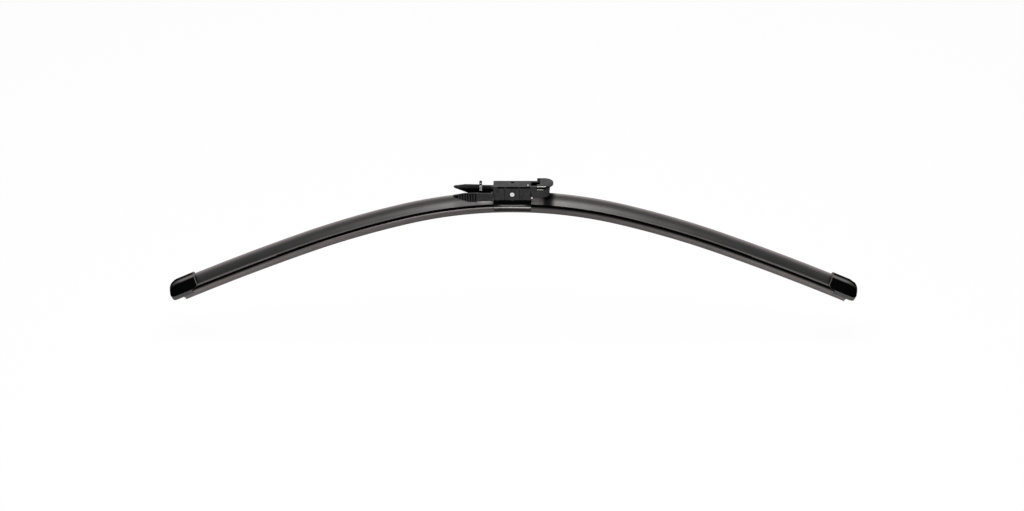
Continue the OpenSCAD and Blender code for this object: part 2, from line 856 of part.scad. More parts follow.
// Slim upright post on the inner face of the rear lever, with three rungs
module lever_post() {
    low = -lever_down + 1.2;
    deep = 0.8;
    rung_r = 0.55;
    difference() {
        translate([-post_x - post_w / 2, lever_in - deep, low])
            cube([post_w, deep + 0.8, post_up - low]);
        translate([-post_x, lever_in - deep - 0.1, post_up - 2.5])
            rotate([-90, 0, 0])
            cylinder(r = 0.6, h = 3);
    }
    for (z = [-2.6, -0.6, 1.4])
        translate([-post_x, lever_in - deep, z])
        rotate([0, 90, 0])
        cylinder(r = rung_r, h = post_w, center = true);
}

module front_release_lever() {
    color(moulding_color) from_seat() splayed() release_lever();
}

module rear_release_lever() {
    color(moulding_color) from_seat() {
        mirror([0, 1, 0]) splayed() {
            release_lever();
            mirror([0, 1, 0]) lever_post();
        }
    }
}

connector_body();
front_release_lever();
rear_release_lever();
pivot_pin();
centre_bracket();
front_rail();
rear_rail();
wiper_rubber();
left_spoiler();
right_spoiler();
left_end_cap();
right_end_cap();
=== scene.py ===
"""Finished look of the flat wiper blade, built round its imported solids.

Lengths in the classes are in millimetres, and are turned into metres where a mesh or a material
is made. The studio's own are in metres.
The X axis runs along the blade, -Y is its front, +Z points away from the glass, and the origin
lies on the connector's flat top, straight above the pivot pin.
"""

import logging
import math
from collections.abc import Callable
from dataclasses import dataclass, field
from enum import Enum

import bmesh
import bpy
from mathutils import Matrix, Vector


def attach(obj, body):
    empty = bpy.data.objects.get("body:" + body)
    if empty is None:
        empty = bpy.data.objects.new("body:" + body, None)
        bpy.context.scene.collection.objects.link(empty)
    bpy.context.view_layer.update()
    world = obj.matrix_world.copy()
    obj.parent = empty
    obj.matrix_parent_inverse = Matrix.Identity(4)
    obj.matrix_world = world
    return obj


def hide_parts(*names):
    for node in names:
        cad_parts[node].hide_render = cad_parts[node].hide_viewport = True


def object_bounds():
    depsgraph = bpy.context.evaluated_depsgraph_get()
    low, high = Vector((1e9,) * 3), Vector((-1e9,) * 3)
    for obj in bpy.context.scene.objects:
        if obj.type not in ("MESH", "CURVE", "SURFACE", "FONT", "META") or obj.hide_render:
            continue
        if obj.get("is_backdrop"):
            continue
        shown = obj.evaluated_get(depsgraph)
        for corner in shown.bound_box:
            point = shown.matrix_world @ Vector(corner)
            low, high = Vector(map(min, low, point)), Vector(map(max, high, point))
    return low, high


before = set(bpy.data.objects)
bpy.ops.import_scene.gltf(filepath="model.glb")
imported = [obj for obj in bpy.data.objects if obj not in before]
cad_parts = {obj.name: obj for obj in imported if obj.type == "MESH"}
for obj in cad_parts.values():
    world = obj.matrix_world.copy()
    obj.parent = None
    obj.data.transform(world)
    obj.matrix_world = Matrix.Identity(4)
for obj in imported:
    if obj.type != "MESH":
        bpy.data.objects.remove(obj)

LOG = logging.getLogger("wiper_blade")
MM = 0.001
# The part of a noise's range that a finish stretches over its own values
NOISE_RANGE = (0.3, 0.7)
# Height above the lip that the finishes' levels cover, in millimetres
LEVEL_HEIGHT = 24.0

Point = tuple[float, float]
Triple = tuple[float, float, float]
Colour = Triple
Levels = tuple[Point, ...]
Socket = bpy.types.NodeSocket
Mesh = bmesh.types.BMesh


class Body(Enum):
    """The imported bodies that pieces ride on."""

    CONNECTOR = "connector"
    FRONT_LEVER = "front_lever"
    REAR_LEVER = "rear_lever"
    BLADE = "blade"


class Slot(Enum):
    """The record's material slots."""

    MOULDING = "moulding"
    SPOILER = "spoiler"
    CAP = "cap"
    RUBBER = "rubber"
    RAIL = "rail"
    BRACKET = "bracket"
    PIN = "pin"


class Pattern(Enum):
    """Where a finish reads its coordinates."""

    OBJECT = "object"
    UNROLLED = "unrolled"


class NodeBoard:
    """Adds and joins the nodes of one material."""

    def __init__(self, name: str) -> None:
        """Starts a material with its shader.

        Args:
            name: the material's name.
        """
        self.material = bpy.data.materials.new(name)
        self.material.use_nodes = True
        self.tree = self.material.node_tree
        self.shader = self.tree.nodes["Principled BSDF"]

    def add(self, kind: str, **values: object) -> bpy.types.Node:
        """Adds a node and sets what is given.

        Args:
            kind: the node's type without the ShaderNode prefix.
            values: input sockets by name with underscores for blanks, or the node's own settings.

        Returns:
            The new node.
        """
        node = self.tree.nodes.new("ShaderNode" + kind)
        for key, value in values.items():
            if hasattr(node, key):
                setattr(node, key, value)
            else:
                node.inputs[key.replace("_", " ")].default_value = value
        return node

    def join(self, source: Socket, target: Socket) -> None:
        """Joins one socket to another."""
        self.tree.links.new(source, target)

    def feed(self, **sources: Socket) -> None:
        """Joins sockets to the shader's inputs, by name with underscores for blanks."""
        for key, source in sources.items():
            self.join(source, self.shader.inputs[key.replace("_", " ")])

    def put(self, **values: object) -> None:
        """Sets uniform values on the shader's own sockets."""
        for key, value in values.items():
            self.shader.inputs[key.replace("_", " ")].default_value = value

    def coordinates(self, pattern: Pattern, scale: Triple = (1.0, 1.0, 1.0)) -> Socket:
        """Coordinates on the piece, scaled.

        Args:
            pattern: the piece's own coordinates, or those along the bent blade.
            scale: scale of each axis.

        Returns:
            The scaled vector's socket.
        """
        if pattern is Pattern.UNROLLED:
            source = self.add("Attribute", attribute_name="unrolled").outputs["Vector"]
        else:
            source = self.add("TexCoord").outputs["Object"]
        mapping = self.add("Mapping", Scale=scale)
        self.join(source, mapping.inputs["Vector"])
        return mapping.outputs["Vector"]

    def lengths(self) -> tuple[Socket, Socket]:
        """Reads the coordinates that a piece carries along the bent blade.

        Returns:
            Length along the blade, or into a cap, and height above the lip, in metres.
        """
        split = self.add("SeparateXYZ")
        self.join(self.coordinates(Pattern.UNROLLED), split.inputs[0])
        return split.outputs["X"], split.outputs["Z"]

    def noise(self, vector: Socket, scale: float, detail: float, rough: float = 0.5) -> Socket:
        """Noise between 0 and 1.

        Args:
            vector: its coordinates.
            scale: how fine it is.
            detail: number of finer layers.
            rough: strength of the finer layers.

        Returns:
            The noise's value socket.
        """
        node = self.add("TexNoise", Scale=scale, Detail=detail, Roughness=rough)
        self.join(vector, node.inputs["Vector"])
        return node.outputs["Fac"]

    def ramp(self, value: Socket, low: float, high: float, start: float = 0.0, end: float = 1.0) -> Socket:
        """Maps a value's range to another, held at its ends.

        Args:
            value: the value to map.
            low: the value that gives start.
            high: the value that gives end.
            start: the result at low.
            end: the result at high.

        Returns:
            The result's socket.
        """
        node = self.add("MapRange")
        for name, number in zip(("From Min", "From Max", "To Min", "To Max"), (low, high, start, end)):
            node.inputs[name].default_value = number
        self.join(value, node.inputs["Value"])
        return node.outputs["Result"]

    def spread(self, noise: Socket, start: float = 0.0, end: float = 1.0) -> Socket:
        """Stretches a noise's usual range over another.

        Args:
            noise: the noise's value.
            start: the result at the range's low end.
            end: the result at its high end.

        Returns:
            The result's socket.
        """
        return self.ramp(noise, *NOISE_RANGE, start, end)

    def times(self, first: Socket, second: Socket | float) -> Socket:
        """Multiplies a value by another or by a number.

        Args:
            first: the value.
            second: the other value or the number.

        Returns:
            The product's socket.
        """
        node = self.add("Math", operation="MULTIPLY")
        self.join(first, node.inputs[0])
        if isinstance(second, Socket):
            self.join(second, node.inputs[1])
        else:
            node.inputs[1].default_value = second
        return node.outputs[0]

    def mix(self, factor: Socket, first: Socket | Colour, second: Socket | Colour) -> Socket:
        """Mixes two colours.

        Args:
            factor: share of the second colour.
            first: a colour or a socket.
            second: a colour or a socket.

        Returns:
            The mixed colour's socket.
        """
        node = self.add("Mix", data_type="RGBA")
        self.join(factor, node.inputs["Factor"])
        for socket, value in ((node.inputs[6], first), (node.inputs[7], second)):
            if isinstance(value, Socket):
                self.join(value, socket)
            else:
                socket.default_value = (*value, 1.0)
        return node.outputs[2]

    def levels(self, value: Socket, low: float, high: float, points: Levels) -> Socket:
        """Grey levels along a length.

        Args:
            value: the length, in metres.
            low: the length at which the levels begin, in millimetres.
            high: the length at which they end, in millimetres.
            points: each level's length, in millimetres, and its share of white.

        Returns:
            The level's colour socket.
        """
        node = self.add("ValToRGB")
        elements = node.color_ramp.elements
        for k, (length, share) in enumerate(points):
            place = (length - low) / (high - low)
            element = elements[k] if k < 2 else elements.new(place)
            element.position = place
            element.color = (share, share, share, 1.0)
        self.join(self.ramp(value, low * MM, high * MM), node.inputs["Fac"])
        return node.outputs["Color"]

    def bump(self, height: Socket, depth: float, strength: float) -> None:
        """Roughens the shader's normal.

        Args:
            height: the height between 0 and 1.
            depth: depth of a full step, in millimetres.
            strength: share of that depth that shows.
        """
        node = self.add("Bump", Strength=strength, Distance=depth * MM)
        self.join(height, node.inputs["Height"])
        self.feed(Normal=node.outputs["Normal"])


def seen_directly(tree: bpy.types.NodeTree) -> Socket:
    """Tells what is seen from what only gives light.

    Args:
        tree: the nodes to add to.

    Returns:
        A socket that is 1 to the eye, to gloss and through glass, and 0 to other rays.
    """
    path = tree.nodes.new("ShaderNodeLightPath")
    total = path.outputs["Is Camera Ray"]
    for name in ("Is Glossy Ray", "Is Transmission Ray"):
        add = tree.nodes.new("ShaderNodeMath")
        add.operation = "MAXIMUM"
        tree.links.new(total, add.inputs[0])
        tree.links.new(path.outputs[name], add.inputs[1])
        total = add.outputs[0]
    return total


@dataclass(frozen=True)
class MouldedFinish:
    """Grained plastic from a mould.

    Attributes:
        name: name of the material.
        dark: colour of the darker clouds.
        light: colour of the lighter clouds.
        rough: lowest and highest roughness.
        grain: size of the grain, in millimetres.
        depth: depth of the grain, in millimetres.
        specular: strength of the surface's reflection.
        flow: how often the gloss changes, per metre.
        cloud: how often the colour changes, per metre.
    """

    name: str
    dark: Colour
    light: Colour
    rough: Point = (0.42, 0.58)
    grain: float = 0.5
    depth: float = 0.02
    specular: float = 0.3
    flow: float = 85.0
    cloud: float = 260.0

    def material(self) -> bpy.types.Material:
        """Makes the finish's nodes.

        Returns:
            The finish as a material.
        """
        board = NodeBoard(self.name)
        vector = board.coordinates(Pattern.OBJECT)
        tone = board.spread(board.noise(vector, self.cloud, 2.0))
        gloss = board.spread(board.noise(vector, self.flow, 3.0), *self.rough)
        board.feed(Base_Color=board.mix(tone, self.dark, self.light), Roughness=gloss)
        board.bump(board.noise(vector, 1.0 / (self.grain * MM), 3.0, 0.6), self.depth, 0.6)
        board.put(Specular_IOR_Level=self.specular)
        return board.material


@dataclass(frozen=True)
class DrawnFinish:
    """Soft plastic, rubber or coated sheet with fine streaks along the blade.

    Attributes:
        name: name of the material.
        dark: colour of the darker streaks.
        light: colour of the lighter streaks.
        rough: lowest and highest roughness.
        streak: width of a streak, in millimetres.
        run: length of a streak, in millimetres.
        depth: depth of a streak, in millimetres.
        cloud: how often the tone changes, per metre.
        specular: strength of the surface's reflection.
        near: heights above the lip, in millimetres, and the share of the colour there at the middle; these shares are
            painted light and shade, with painted highlights and darker bands.
        far: the same at the tips.
        turn: distances from the pin between which the middle turns into the tips, in millimetres.
        left: the same as near on the left half, where it differs, painted brighter where light falls from the left.
        left_from: lengths between which the left half's shares set in, in millimetres.
        hub: the same beside the connector, painted light and shade next to the connector.
        hub_end: distances from the pin between which those end, in millimetres.
        along: lengths from the pin, negative to the left, and a share for every height there; a painted shadow of the
            connector's head, which weakens the reflection too.
        along_reach: distance from the pin that they cover on each side, in millimetres.
    """

    name: str
    dark: Colour
    light: Colour
    rough: Point = (0.45, 0.6)
    streak: float = 0.5
    run: float = 28.0
    depth: float = 0.02
    cloud: float = 55.0
    specular: float = 0.3
    near: Levels = ((0.0, 1.0), (24.0, 1.0))
    far: Levels = ((0.0, 1.0), (24.0, 1.0))
    turn: Point = (60.0, 290.0)
    left: Levels = ()
    left_from: Point = (-12.0, -16.0)
    hub: Levels = ()
    hub_end: Point = (27.0, 32.0)
    along: Levels = ()
    along_reach: float = 60.0

    def shade(self, board: NodeBoard) -> Socket:
        """Share of the colour by height and by length along the blade.

        The shares are painted light and shade. Where shares are given along the blade, the reflection is weakened by
        them too.

        Args:
            board: the material's nodes.

        Returns:
            The share as a grey colour's socket.
        """
        run, height = board.lengths()
        distance = board.add("Math", operation="ABSOLUTE")
        board.join(run, distance.inputs[0])

        def rows(points: Levels) -> Socket:
            """The shares of one row by height."""
            return board.levels(height, 0.0, LEVEL_HEIGHT, points)

        def between(length: Socket, ends: Point) -> Socket:
            """0 before the first end, 1 past the second."""
            return board.ramp(length, ends[0] * MM, ends[1] * MM)

        near = rows(self.near)
        if self.left:
            near = board.mix(between(run, self.left_from), near, rows(self.left))
        tone = board.mix(between(distance.outputs[0], self.turn), near, rows(self.far))
        if self.hub:
            tone = board.mix(between(distance.outputs[0], self.hub_end), rows(self.hub), tone)
        if self.along:
            share = board.levels(run, -self.along_reach, self.along_reach, self.along)
            tone = board.mix(share, (0.0, 0.0, 0.0), tone)
            board.feed(Specular_IOR_Level=board.times(share, self.specular))
        return tone

    def material(self) -> bpy.types.Material:
        """Makes the finish's nodes.

        Returns:
            The finish as a material.
        """
        board = NodeBoard(self.name)
        across = 1.0 / (self.streak * MM)
        streaks = board.coordinates(Pattern.UNROLLED, (1.0 / (self.run * MM), across, across))
        fine = board.noise(streaks, 1.0, 4.0, 0.6)
        cloud = board.noise(board.coordinates(Pattern.UNROLLED), self.cloud, 4.0, 0.6)
        tone = board.times(board.spread(fine, 0.2), board.spread(cloud, 0.45))
        # The streaked colour is multiplied by the painted light and shade from shade().
        shaded = board.add("VectorMath", operation="MULTIPLY")
        board.join(board.mix(tone, self.dark, self.light), shaded.inputs[0])
        board.join(self.shade(board), shaded.inputs[1])
        board.feed(Base_Color=shaded.outputs[0], Roughness=board.spread(cloud, *self.rough))
        board.bump(fine, self.depth, 0.5)
        if not self.along:
            board.put(Specular_IOR_Level=self.specular)
        return board.material


@dataclass(frozen=True)
class GlossFinish:
    """Polished plastic with a faint ripple and a little dust.

    Attributes:
        name: name of the material.
        colour: the plastic's colour.
        rough: lowest and highest roughness.
        crest: heights at the mouth, in millimetres, and the strength of the reflection there, raised in a painted
            highlight band below the crest.
        fade: distances from the mouth, in millimetres, and the share of that strength.
        reach: distance from the mouth that those cover, in millimetres.
        shine: the paler colour painted where the reflection is strongest, a painted highlight.
        ripple: how often the ripple repeats, per metre.
        dust: how fine the dust is, its noise's range and its strongest share.
        dust_tone: how much paler the dust is than the plastic.
    """

    name: str
    colour: Colour
    rough: Point = (0.16, 0.26)
    crest: Levels = ((0.0, 0.3), (24.0, 0.3))
    fade: Levels = ((0.0, 1.0), (32.0, 1.0))
    reach: float = 32.0
    shine: Colour = (0.1, 0.1, 0.1)
    ripple: float = 300.0
    dust: tuple[float, float, float, float] = (2600.0, 0.68, 0.8, 0.35)
    dust_tone: float = 0.012

    def material(self) -> bpy.types.Material:
        """Makes the finish's nodes.

        Returns:
            The finish as a material.
        """
        board = NodeBoard(self.name)
        vector = board.coordinates(Pattern.OBJECT)
        ripple = board.noise(vector, self.ripple, 2.0)
        scale, low, high, most = self.dust
        dust = board.ramp(board.noise(vector, scale, 1.0), low, high, 0.0, most)
        body = board.mix(dust, self.colour, tuple(c + self.dust_tone for c in self.colour))
        # A painted highlight band below the crest: stronger reflection and the paler shine colour, fading towards the
        # nose.
        depth, height = board.lengths()
        level = board.times(
            board.levels(height, 0.0, LEVEL_HEIGHT, self.crest), board.levels(depth, 0.0, self.reach, self.fade)
        )
        board.feed(
            Base_Color=board.mix(level, body, self.shine),
            Roughness=board.spread(ripple, *self.rough),
            Specular_IOR_Level=level,
        )
        board.bump(ripple, 0.01, 0.5)
        return board.material


@dataclass(frozen=True)
class SteelFinish:
    """Bare steel with rolling marks.

    Attributes:
        name: name of the material.
        dark: colour in the marks.
        light: colour between them.
        rough: lowest and highest roughness.
        scale: how fine the marks are along each axis.
        marks: how often they repeat, per metre.
    """

    name: str
    dark: Colour
    light: Colour
    rough: Point = (0.3, 0.45)
    scale: Triple = (0.03, 1.0, 1.0)
    marks: float = 700.0

    def material(self) -> bpy.types.Material:
        """Makes the finish's nodes.

        Returns:
            The finish as a material.
        """
        board = NodeBoard(self.name)
        marks = board.noise(board.coordinates(Pattern.OBJECT, self.scale), self.marks, 4.0, 0.65)
        board.feed(
            Base_Color=board.mix(board.spread(marks), self.dark, self.light),
            Roughness=board.spread(marks, *self.rough),
        )
        board.bump(marks, 0.01, 0.4)
        board.put(Metallic=1.0, Specular_IOR_Level=0.4)
        return board.material


@dataclass(frozen=True)
class TurnedFinish:
    """The pin's turned steel, with rings round its axis.

    Attributes:
        name: name of the material.
        centre: a point on the axis, in metres.
        colour: the steel's colour.
        smeared: share of that colour in the darker smears.
        rough: lowest and highest roughness.
        metallic: share of the metal's reflection.
        pitch: distance between the rings, in millimetres.
        smears: how often the smears repeat, per metre.
    """

    name: str
    centre: Triple
    colour: Colour = (0.8, 0.78, 0.75)
    smeared: float = 0.82
    rough: Point = (0.34, 0.5)
    metallic: float = 0.55
    pitch: float = 0.35
    smears: float = 900.0

    def material(self) -> bpy.types.Material:
        """Makes the finish's nodes.

        Returns:
            The finish as a material.
        """
        board = NodeBoard(self.name)
        mapping = board.add("Mapping", Location=tuple(-c for c in self.centre), Scale=(1.0, 0.0, 1.0))
        board.join(board.add("TexCoord").outputs["Object"], mapping.inputs["Vector"])
        distance = board.add("VectorMath", operation="LENGTH")
        board.join(mapping.outputs["Vector"], distance.inputs[0])
        rings = board.add("Math", operation="SINE")
        board.join(board.times(distance.outputs["Value"], 2 * math.pi / (self.pitch * MM)), rings.inputs[0])
        smear = board.noise(mapping.outputs["Vector"], self.smears, 3.0)
        darker = tuple(c * self.smeared for c in self.colour)
        board.feed(Base_Color=board.mix(smear, darker, self.colour), Roughness=board.spread(smear, *self.rough))
        board.bump(board.ramp(rings.outputs[0], -1.0, 1.0), 0.004, 0.5)
        board.put(Metallic=self.metallic)
        return board.material


@dataclass(frozen=True)
class Finishes:
    """Every finish of the blade, made once."""

    moulding: MouldedFinish = MouldedFinish(
        "moulded_plastic", (0.018, 0.018, 0.019), (0.034, 0.034, 0.035), specular=0.15
    )
    lever: MouldedFinish = MouldedFinish(
        "lever_plastic", (0.015, 0.015, 0.016), (0.028, 0.028, 0.029), specular=0.15
    )
    # Painted light and shade on the spoilers: highlights on the skirts near the middle and on the ridge, darker bands
    # between, lit skirts and a dark ridge beside the connector, and the head's painted shadow on the right.
    spoiler: DrawnFinish = DrawnFinish(
        "spoiler_plastic",
        (0.163, 0.139, 0.137),
        (0.226, 0.195, 0.192),
        rough=(0.34, 0.42),
        specular=0.6,
        near=(
            (0.0, 0.2), (12.1, 0.2), (14.5, 0.4), (15.5, 0.32), (16.8, 0.1), (18.6, 0.12), (19.6, 0.35), (20.5, 0.7)
        ),
        far=(
            (0.0, 0.1), (12.0, 0.5), (12.5, 0.4), (12.9, 0.02), (15.0, 0.02), (17.6, 0.04), (18.8, 0.25),
            (19.7, 0.6), (20.5, 1.1),
        ),
        turn=(15.0, 230.0),
        hub=((0.0, 0.2), (12.1, 0.4), (13.2, 1.0), (14.3, 1.4), (15.5, 1.2), (17.5, 0.05), (20.5, 0.02)),
        along=(
            (-60.0, 1.0), (23.0, 1.0), (26.0, 0.7), (29.5, 0.05), (33.5, 0.04), (35.5, 0.12), (39.5, 1.0), (60.0, 1.0)
        ),
    )
    # Painted shade: near black for the groove over the claws and for the ridge beside the connector.
    groove: DrawnFinish = DrawnFinish("painted_shade_groove", (0.001, 0.001, 0.001), (0.003, 0.003, 0.003), specular=0.02)
    # Painted light and shade on the claws: lighter at the tips, a dark top edge, and on the left half near the middle a
    # painted highlight along it.
    claw: DrawnFinish = DrawnFinish(
        "claw_plastic",
        (0.123, 0.107, 0.103),
        (0.22, 0.194, 0.187),
        rough=(0.34, 0.46),
        run=9.0,
        near=((0.0, 0.45), (5.6, 0.4), (7.0, 0.45), (7.6, 0.2), (8.0, 0.03), (8.8, 0.02)),
        far=((0.0, 1.0), (5.6, 1.0), (7.2, 0.9), (7.7, 0.5), (8.1, 0.05), (8.8, 0.02)),
        turn=(30.0, 260.0),
        left=((0.0, 0.5), (5.6, 0.38), (7.0, 0.42), (7.7, 0.85), (8.2, 2.2), (8.8, 2.6)),
    )
    # Painted light and shade on the rubber: lighter at the lip and towards the tips, darker near the middle.
    rubber: DrawnFinish = DrawnFinish(
        "wiping_rubber",
        (0.098, 0.086, 0.082),
        (0.205, 0.182, 0.172),
        rough=(0.6, 0.8),
        run=6.0,
        specular=0.15,
        near=((0.0, 0.85), (3.0, 0.65), (24.0, 0.6)),
        far=((0.0, 1.3), (3.0, 1.15), (24.0, 1.0)),
    )
    # crest and fade paint a highlight band below the cap's crest, fading towards the nose.
    cap: GlossFinish = GlossFinish(
        "glossy_cap",
        (0.0012, 0.0012, 0.0013),
        crest=((0.0, 0.004), (19.8, 0.004), (20.8, 1.0), (21.6, 1.0), (22.2, 0.05), (24.0, 0.02)),
        fade=((0.0, 0.8), (2.0, 1.0), (14.0, 0.9), (20.0, 0.3), (25.0, 0.02)),
        shine=(0.13, 0.127, 0.122),
    )
    # Painted highlight along the cap's mouth edge.
    cap_edge: MouldedFinish = MouldedFinish("cap_mouth_edge", (0.09, 0.088, 0.085), (0.14, 0.137, 0.132), specular=0.1)
    clip: MouldedFinish = MouldedFinish("cap_clip_grain", (0.05, 0.048, 0.047), (0.085, 0.082, 0.08))
    rail: SteelFinish = SteelFinish("spring_rail_steel", (0.35, 0.35, 0.36), (0.6, 0.6, 0.61))
    # Painted light and shade on the bracket: near black where the connector shades it, a painted highlight along the
    # grips' top edge, and near the middle a painted highlight line above it.
    bracket: DrawnFinish = DrawnFinish(
        "black_coated_steel",
        (0.5, 0.49, 0.48),
        (0.8, 0.78, 0.76),
        rough=(0.3, 0.4),
        specular=0.08,
        near=(
            (0.0, 0.004), (5.9, 0.008), (6.6, 0.05), (7.8, 0.1), (8.0, 0.9), (8.35, 0.9), (8.45, 0.02),
            (9.65, 0.02), (9.85, 0.35), (10.1, 0.4),
        ),
        far=((0.0, 0.004), (5.9, 0.008), (6.6, 0.05), (7.8, 0.1), (8.0, 0.9), (8.35, 0.9), (8.45, 0.02)),
        turn=(9.0, 14.0),
    )
    # Painted shade: near black for slots, gaps, recesses, the levers' inner sides and the bracket's walls.
    recess: MouldedFinish = MouldedFinish(
        "shaded_recess", (0.0008, 0.0008, 0.0009), (0.0025, 0.0025, 0.0027), rough=(0.6, 0.8), specular=0.02
    )
    pin: TurnedFinish = TurnedFinish("turned_pin_steel", (0.0, 0.0, -7.2 * MM))
    # Painted shade on the broken edge round the pin's ends.
    pin_edge: MouldedFinish = MouldedFinish("dark_pin_edge", (0.006, 0.006, 0.006), (0.014, 0.014, 0.014), specular=0.1)
    # Painted highlights on the rungs of the rear lever's post.
    rung: MouldedFinish = MouldedFinish("painted_glint_rung", (0.4, 0.39, 0.38), (0.6, 0.59, 0.57), rough=(0.3, 0.4))
    # Painted glints on the head's edges, the connector's lower corners and its pips.
    glint: MouldedFinish = MouldedFinish("painted_glint", (0.75, 0.74, 0.73), (0.92, 0.91, 0.89), rough=(0.3, 0.4))

    def made(self, name: str) -> bpy.types.Material:
        """The material of one finish, made at its first use.

        Args:
            name: the field's name.

        Returns:
            The material.
        """
        finish = getattr(self, name)
        return bpy.data.materials.get(finish.name) or finish.material()


@dataclass(frozen=True)
class FreeCurve:
    """The bow that the long pieces share, measured at the lip's edge.

    Attributes:
        radii: radius over the middle, the flanks and the tips.
        spans: length of the middle and of the flank radius on each side.
        lip_depth: depth of the lip's edge under the origin at the middle.
    """

    radii: Triple = (397.0, 841.0, 2295.0)
    spans: Point = (100.0, 100.0)
    lip_depth: float = 29.5

    def marks(self) -> Triple:
        """Lengths at which the radii begin."""
        return 0.0, self.spans[0], self.spans[0] + self.spans[1]

    def band(self, s: float) -> int:
        """Number of the radius that holds the length s."""
        return sum(abs(s) > mark for mark in self.marks()[1:])

    def slope(self, s: float) -> float:
        """Slope of the curve.

        Args:
            s: length from the pin, in millimetres.

        Returns:
            The slope in radians, falling outwards.
        """
        ends = (*self.marks()[1:], math.inf)
        spans = zip(self.marks(), ends, self.radii)
        return math.copysign(sum(max(min(abs(s), end) - mark, 0.0) / radius for mark, end, radius in spans), s)

    def outward(self, angle: float) -> Vector:
        """Direction away from the glass where the slope is the angle, in radians."""
        return Vector((math.sin(angle), 0.0, math.cos(angle)))

    def centre(self, band: int, side: float) -> Vector:
        """Centre of one radius.

        Args:
            band: the radius's number.
            side: 1 for the right half, -1 for the left.

        Returns:
            The centre, in millimetres.
        """
        place = Vector((0.0, 0.0, -self.lip_depth - self.radii[0]))
        for k in range(band):
            angle = side * abs(self.slope(self.marks()[k + 1]))
            place += (self.radii[k] - self.radii[k + 1]) * self.outward(angle)
        return place

    def foot(self, s: float) -> Vector:
        """Point of the lip's edge at the length s, in millimetres."""
        band, angle = self.band(s), self.slope(s)
        return self.centre(band, math.copysign(1.0, s)) + self.radii[band] * self.outward(angle)

    def place(self, s: float) -> Matrix:
        """Frame at the length s, in metres: X along the blade, Z away from the glass."""
        return Matrix.Translation(self.foot(s) * MM) @ Matrix.Rotation(self.slope(s), 4, "Y")

    def unrolled(self, co: Vector) -> Vector:
        """A point's length along the blade, its Y and its height above the lip's edge.

        Args:
            co: the point, in metres.

        Returns:
            The three lengths, in metres.
        """
        side = math.copysign(1.0, co.x)
        for band in (2, 1, 0):
            centre = self.centre(band, side) * MM
            angle = side * math.atan2(co.x - centre.x, co.z - centre.z)
            start = abs(self.slope(self.marks()[band])) if band else 0.0
            if angle >= start or band == 0:
                break
        s = side * (self.marks()[band] + (angle - start) * self.radii[band]) * MM
        height = math.hypot(co.x - centre.x, co.z - centre.z) - self.radii[band] * MM
        return Vector((s, co.y, height))

    def sweep(self, bm: Mesh, start: float, end: float, step: float = 7.0) -> None:
        """Sweeps the section face in bm from one length to another.

        Args:
            bm: holds one face, square to the blade at start.
            start: length at which the face lies.
            end: length at which the sweep ends.
            step: distance between two rings.
        """
        inner = [side * mark for side in (-1, 1) for mark in self.marks()[1:]]
        stops = [start, *sorted(mark for mark in inner if start < mark < end), end]
        geom = [*bm.verts, *bm.edges, *bm.faces]
        for first, last in zip(stops, stops[1:]):
            middle = (first + last) / 2
            band = self.band(middle)
            geom = bmesh.ops.spin(
                bm,
                geom=geom,
                cent=self.centre(band, math.copysign(1.0, middle)) * MM,
                axis=(0.0, 1.0, 0.0),
                dvec=(0.0, 0.0, 0.0),
                angle=(last - first) / self.radii[band],
                steps=max(2, round((last - first) / step)),
                use_duplicate=False,
            )["geom_last"]


CURVE = FreeCurve()
FINISHES = Finishes()


class Section:
    """A cross-section drawn in millimetres as height and forward distance."""

    def __init__(self) -> None:
        """Starts an empty section."""
        self.bm = bmesh.new()
        self.last: bmesh.types.BMVert | None = None
        self.sharp: list[bmesh.types.BMVert] = []

    def to(self, *points: Point, sharp: bool = False) -> "Section":
        """Draws straight lines through the points.

        Args:
            points: each point's height and forward distance.
            sharp: whether these corners keep clear of the rounding.

        Returns:
            The section.
        """
        for height, forward in points:
            vert = self.bm.verts.new((0.0, -forward * MM, height * MM))
            if self.last is not None:
                self.bm.edges.new((self.last, vert))
            if sharp:
                self.sharp.append(vert)
            self.last = vert
        return self

    def hollow(self, height: float, forward: float, radius: float, steps: int) -> "Section":
        """Draws a round line to a point, hollow towards the outside.

        Args:
            height: the end's height.
            forward: the end's forward distance.
            radius: the line's radius.
            steps: number of its parts.

        Returns:
            The section.
        """
        start = self.last.co.copy()
        end = Vector((0.0, -forward * MM, height * MM))
        chord = end - start
        side = Vector((0.0, -1.0, 0.0)) if (start + end).y < 0 else Vector((0.0, 1.0, 0.0))
        normal = Vector((0.0, chord.z, -chord.y)).normalized()
        if normal.dot(side) < 0:
            normal.negate()
        centre = (start + end) / 2 + normal * math.sqrt((radius * MM) ** 2 - chord.length_squared / 4)
        angle = (start - centre).angle(end - centre)
        axis = (start - centre).cross(end - centre).normalized()
        made = bmesh.ops.spin(
            self.bm,
            geom=[self.last],
            cent=centre,
            axis=axis,
            dvec=(0.0, 0.0, 0.0),
            angle=angle,
            steps=steps,
            use_duplicate=False,
        )
        self.last = next(item for item in made["geom_last"] if isinstance(item, bmesh.types.BMVert))
        self.sharp.extend(v for v in self.bm.verts if v.index == -1 and v not in self.sharp and v is not self.last)
        return self

    def closed(self, rounding: float, segments: int = 2, corner: float = 20.0) -> Mesh:
        """Closes the outline, rounds its corners and fills it.

        Args:
            rounding: length cut off each corner.
            segments: parts of each rounding.
            corner: turns sharper than this are corners, in degrees.

        Returns:
            The mesh with the one face.
        """
        bm = self.bm
        bm.verts.ensure_lookup_table()
        bm.edges.new((self.last, bm.verts[0]))
        bmesh.ops.remove_doubles(bm, verts=bm.verts, dist=1e-7)
        bmesh.ops.contextual_create(bm, geom=bm.edges)
        corners = [v for v in bm.verts if v.calc_edge_angle(0.0) > math.radians(corner) and v not in self.sharp]
        bmesh.ops.bevel(
            bm,
            geom=corners,
            offset=rounding * MM,
            offset_type="OFFSET",
            segments=segments,
            profile=0.5,
            affect="VERTICES",
            material=-1,
            clamp_overlap=True,
        )
        return bm


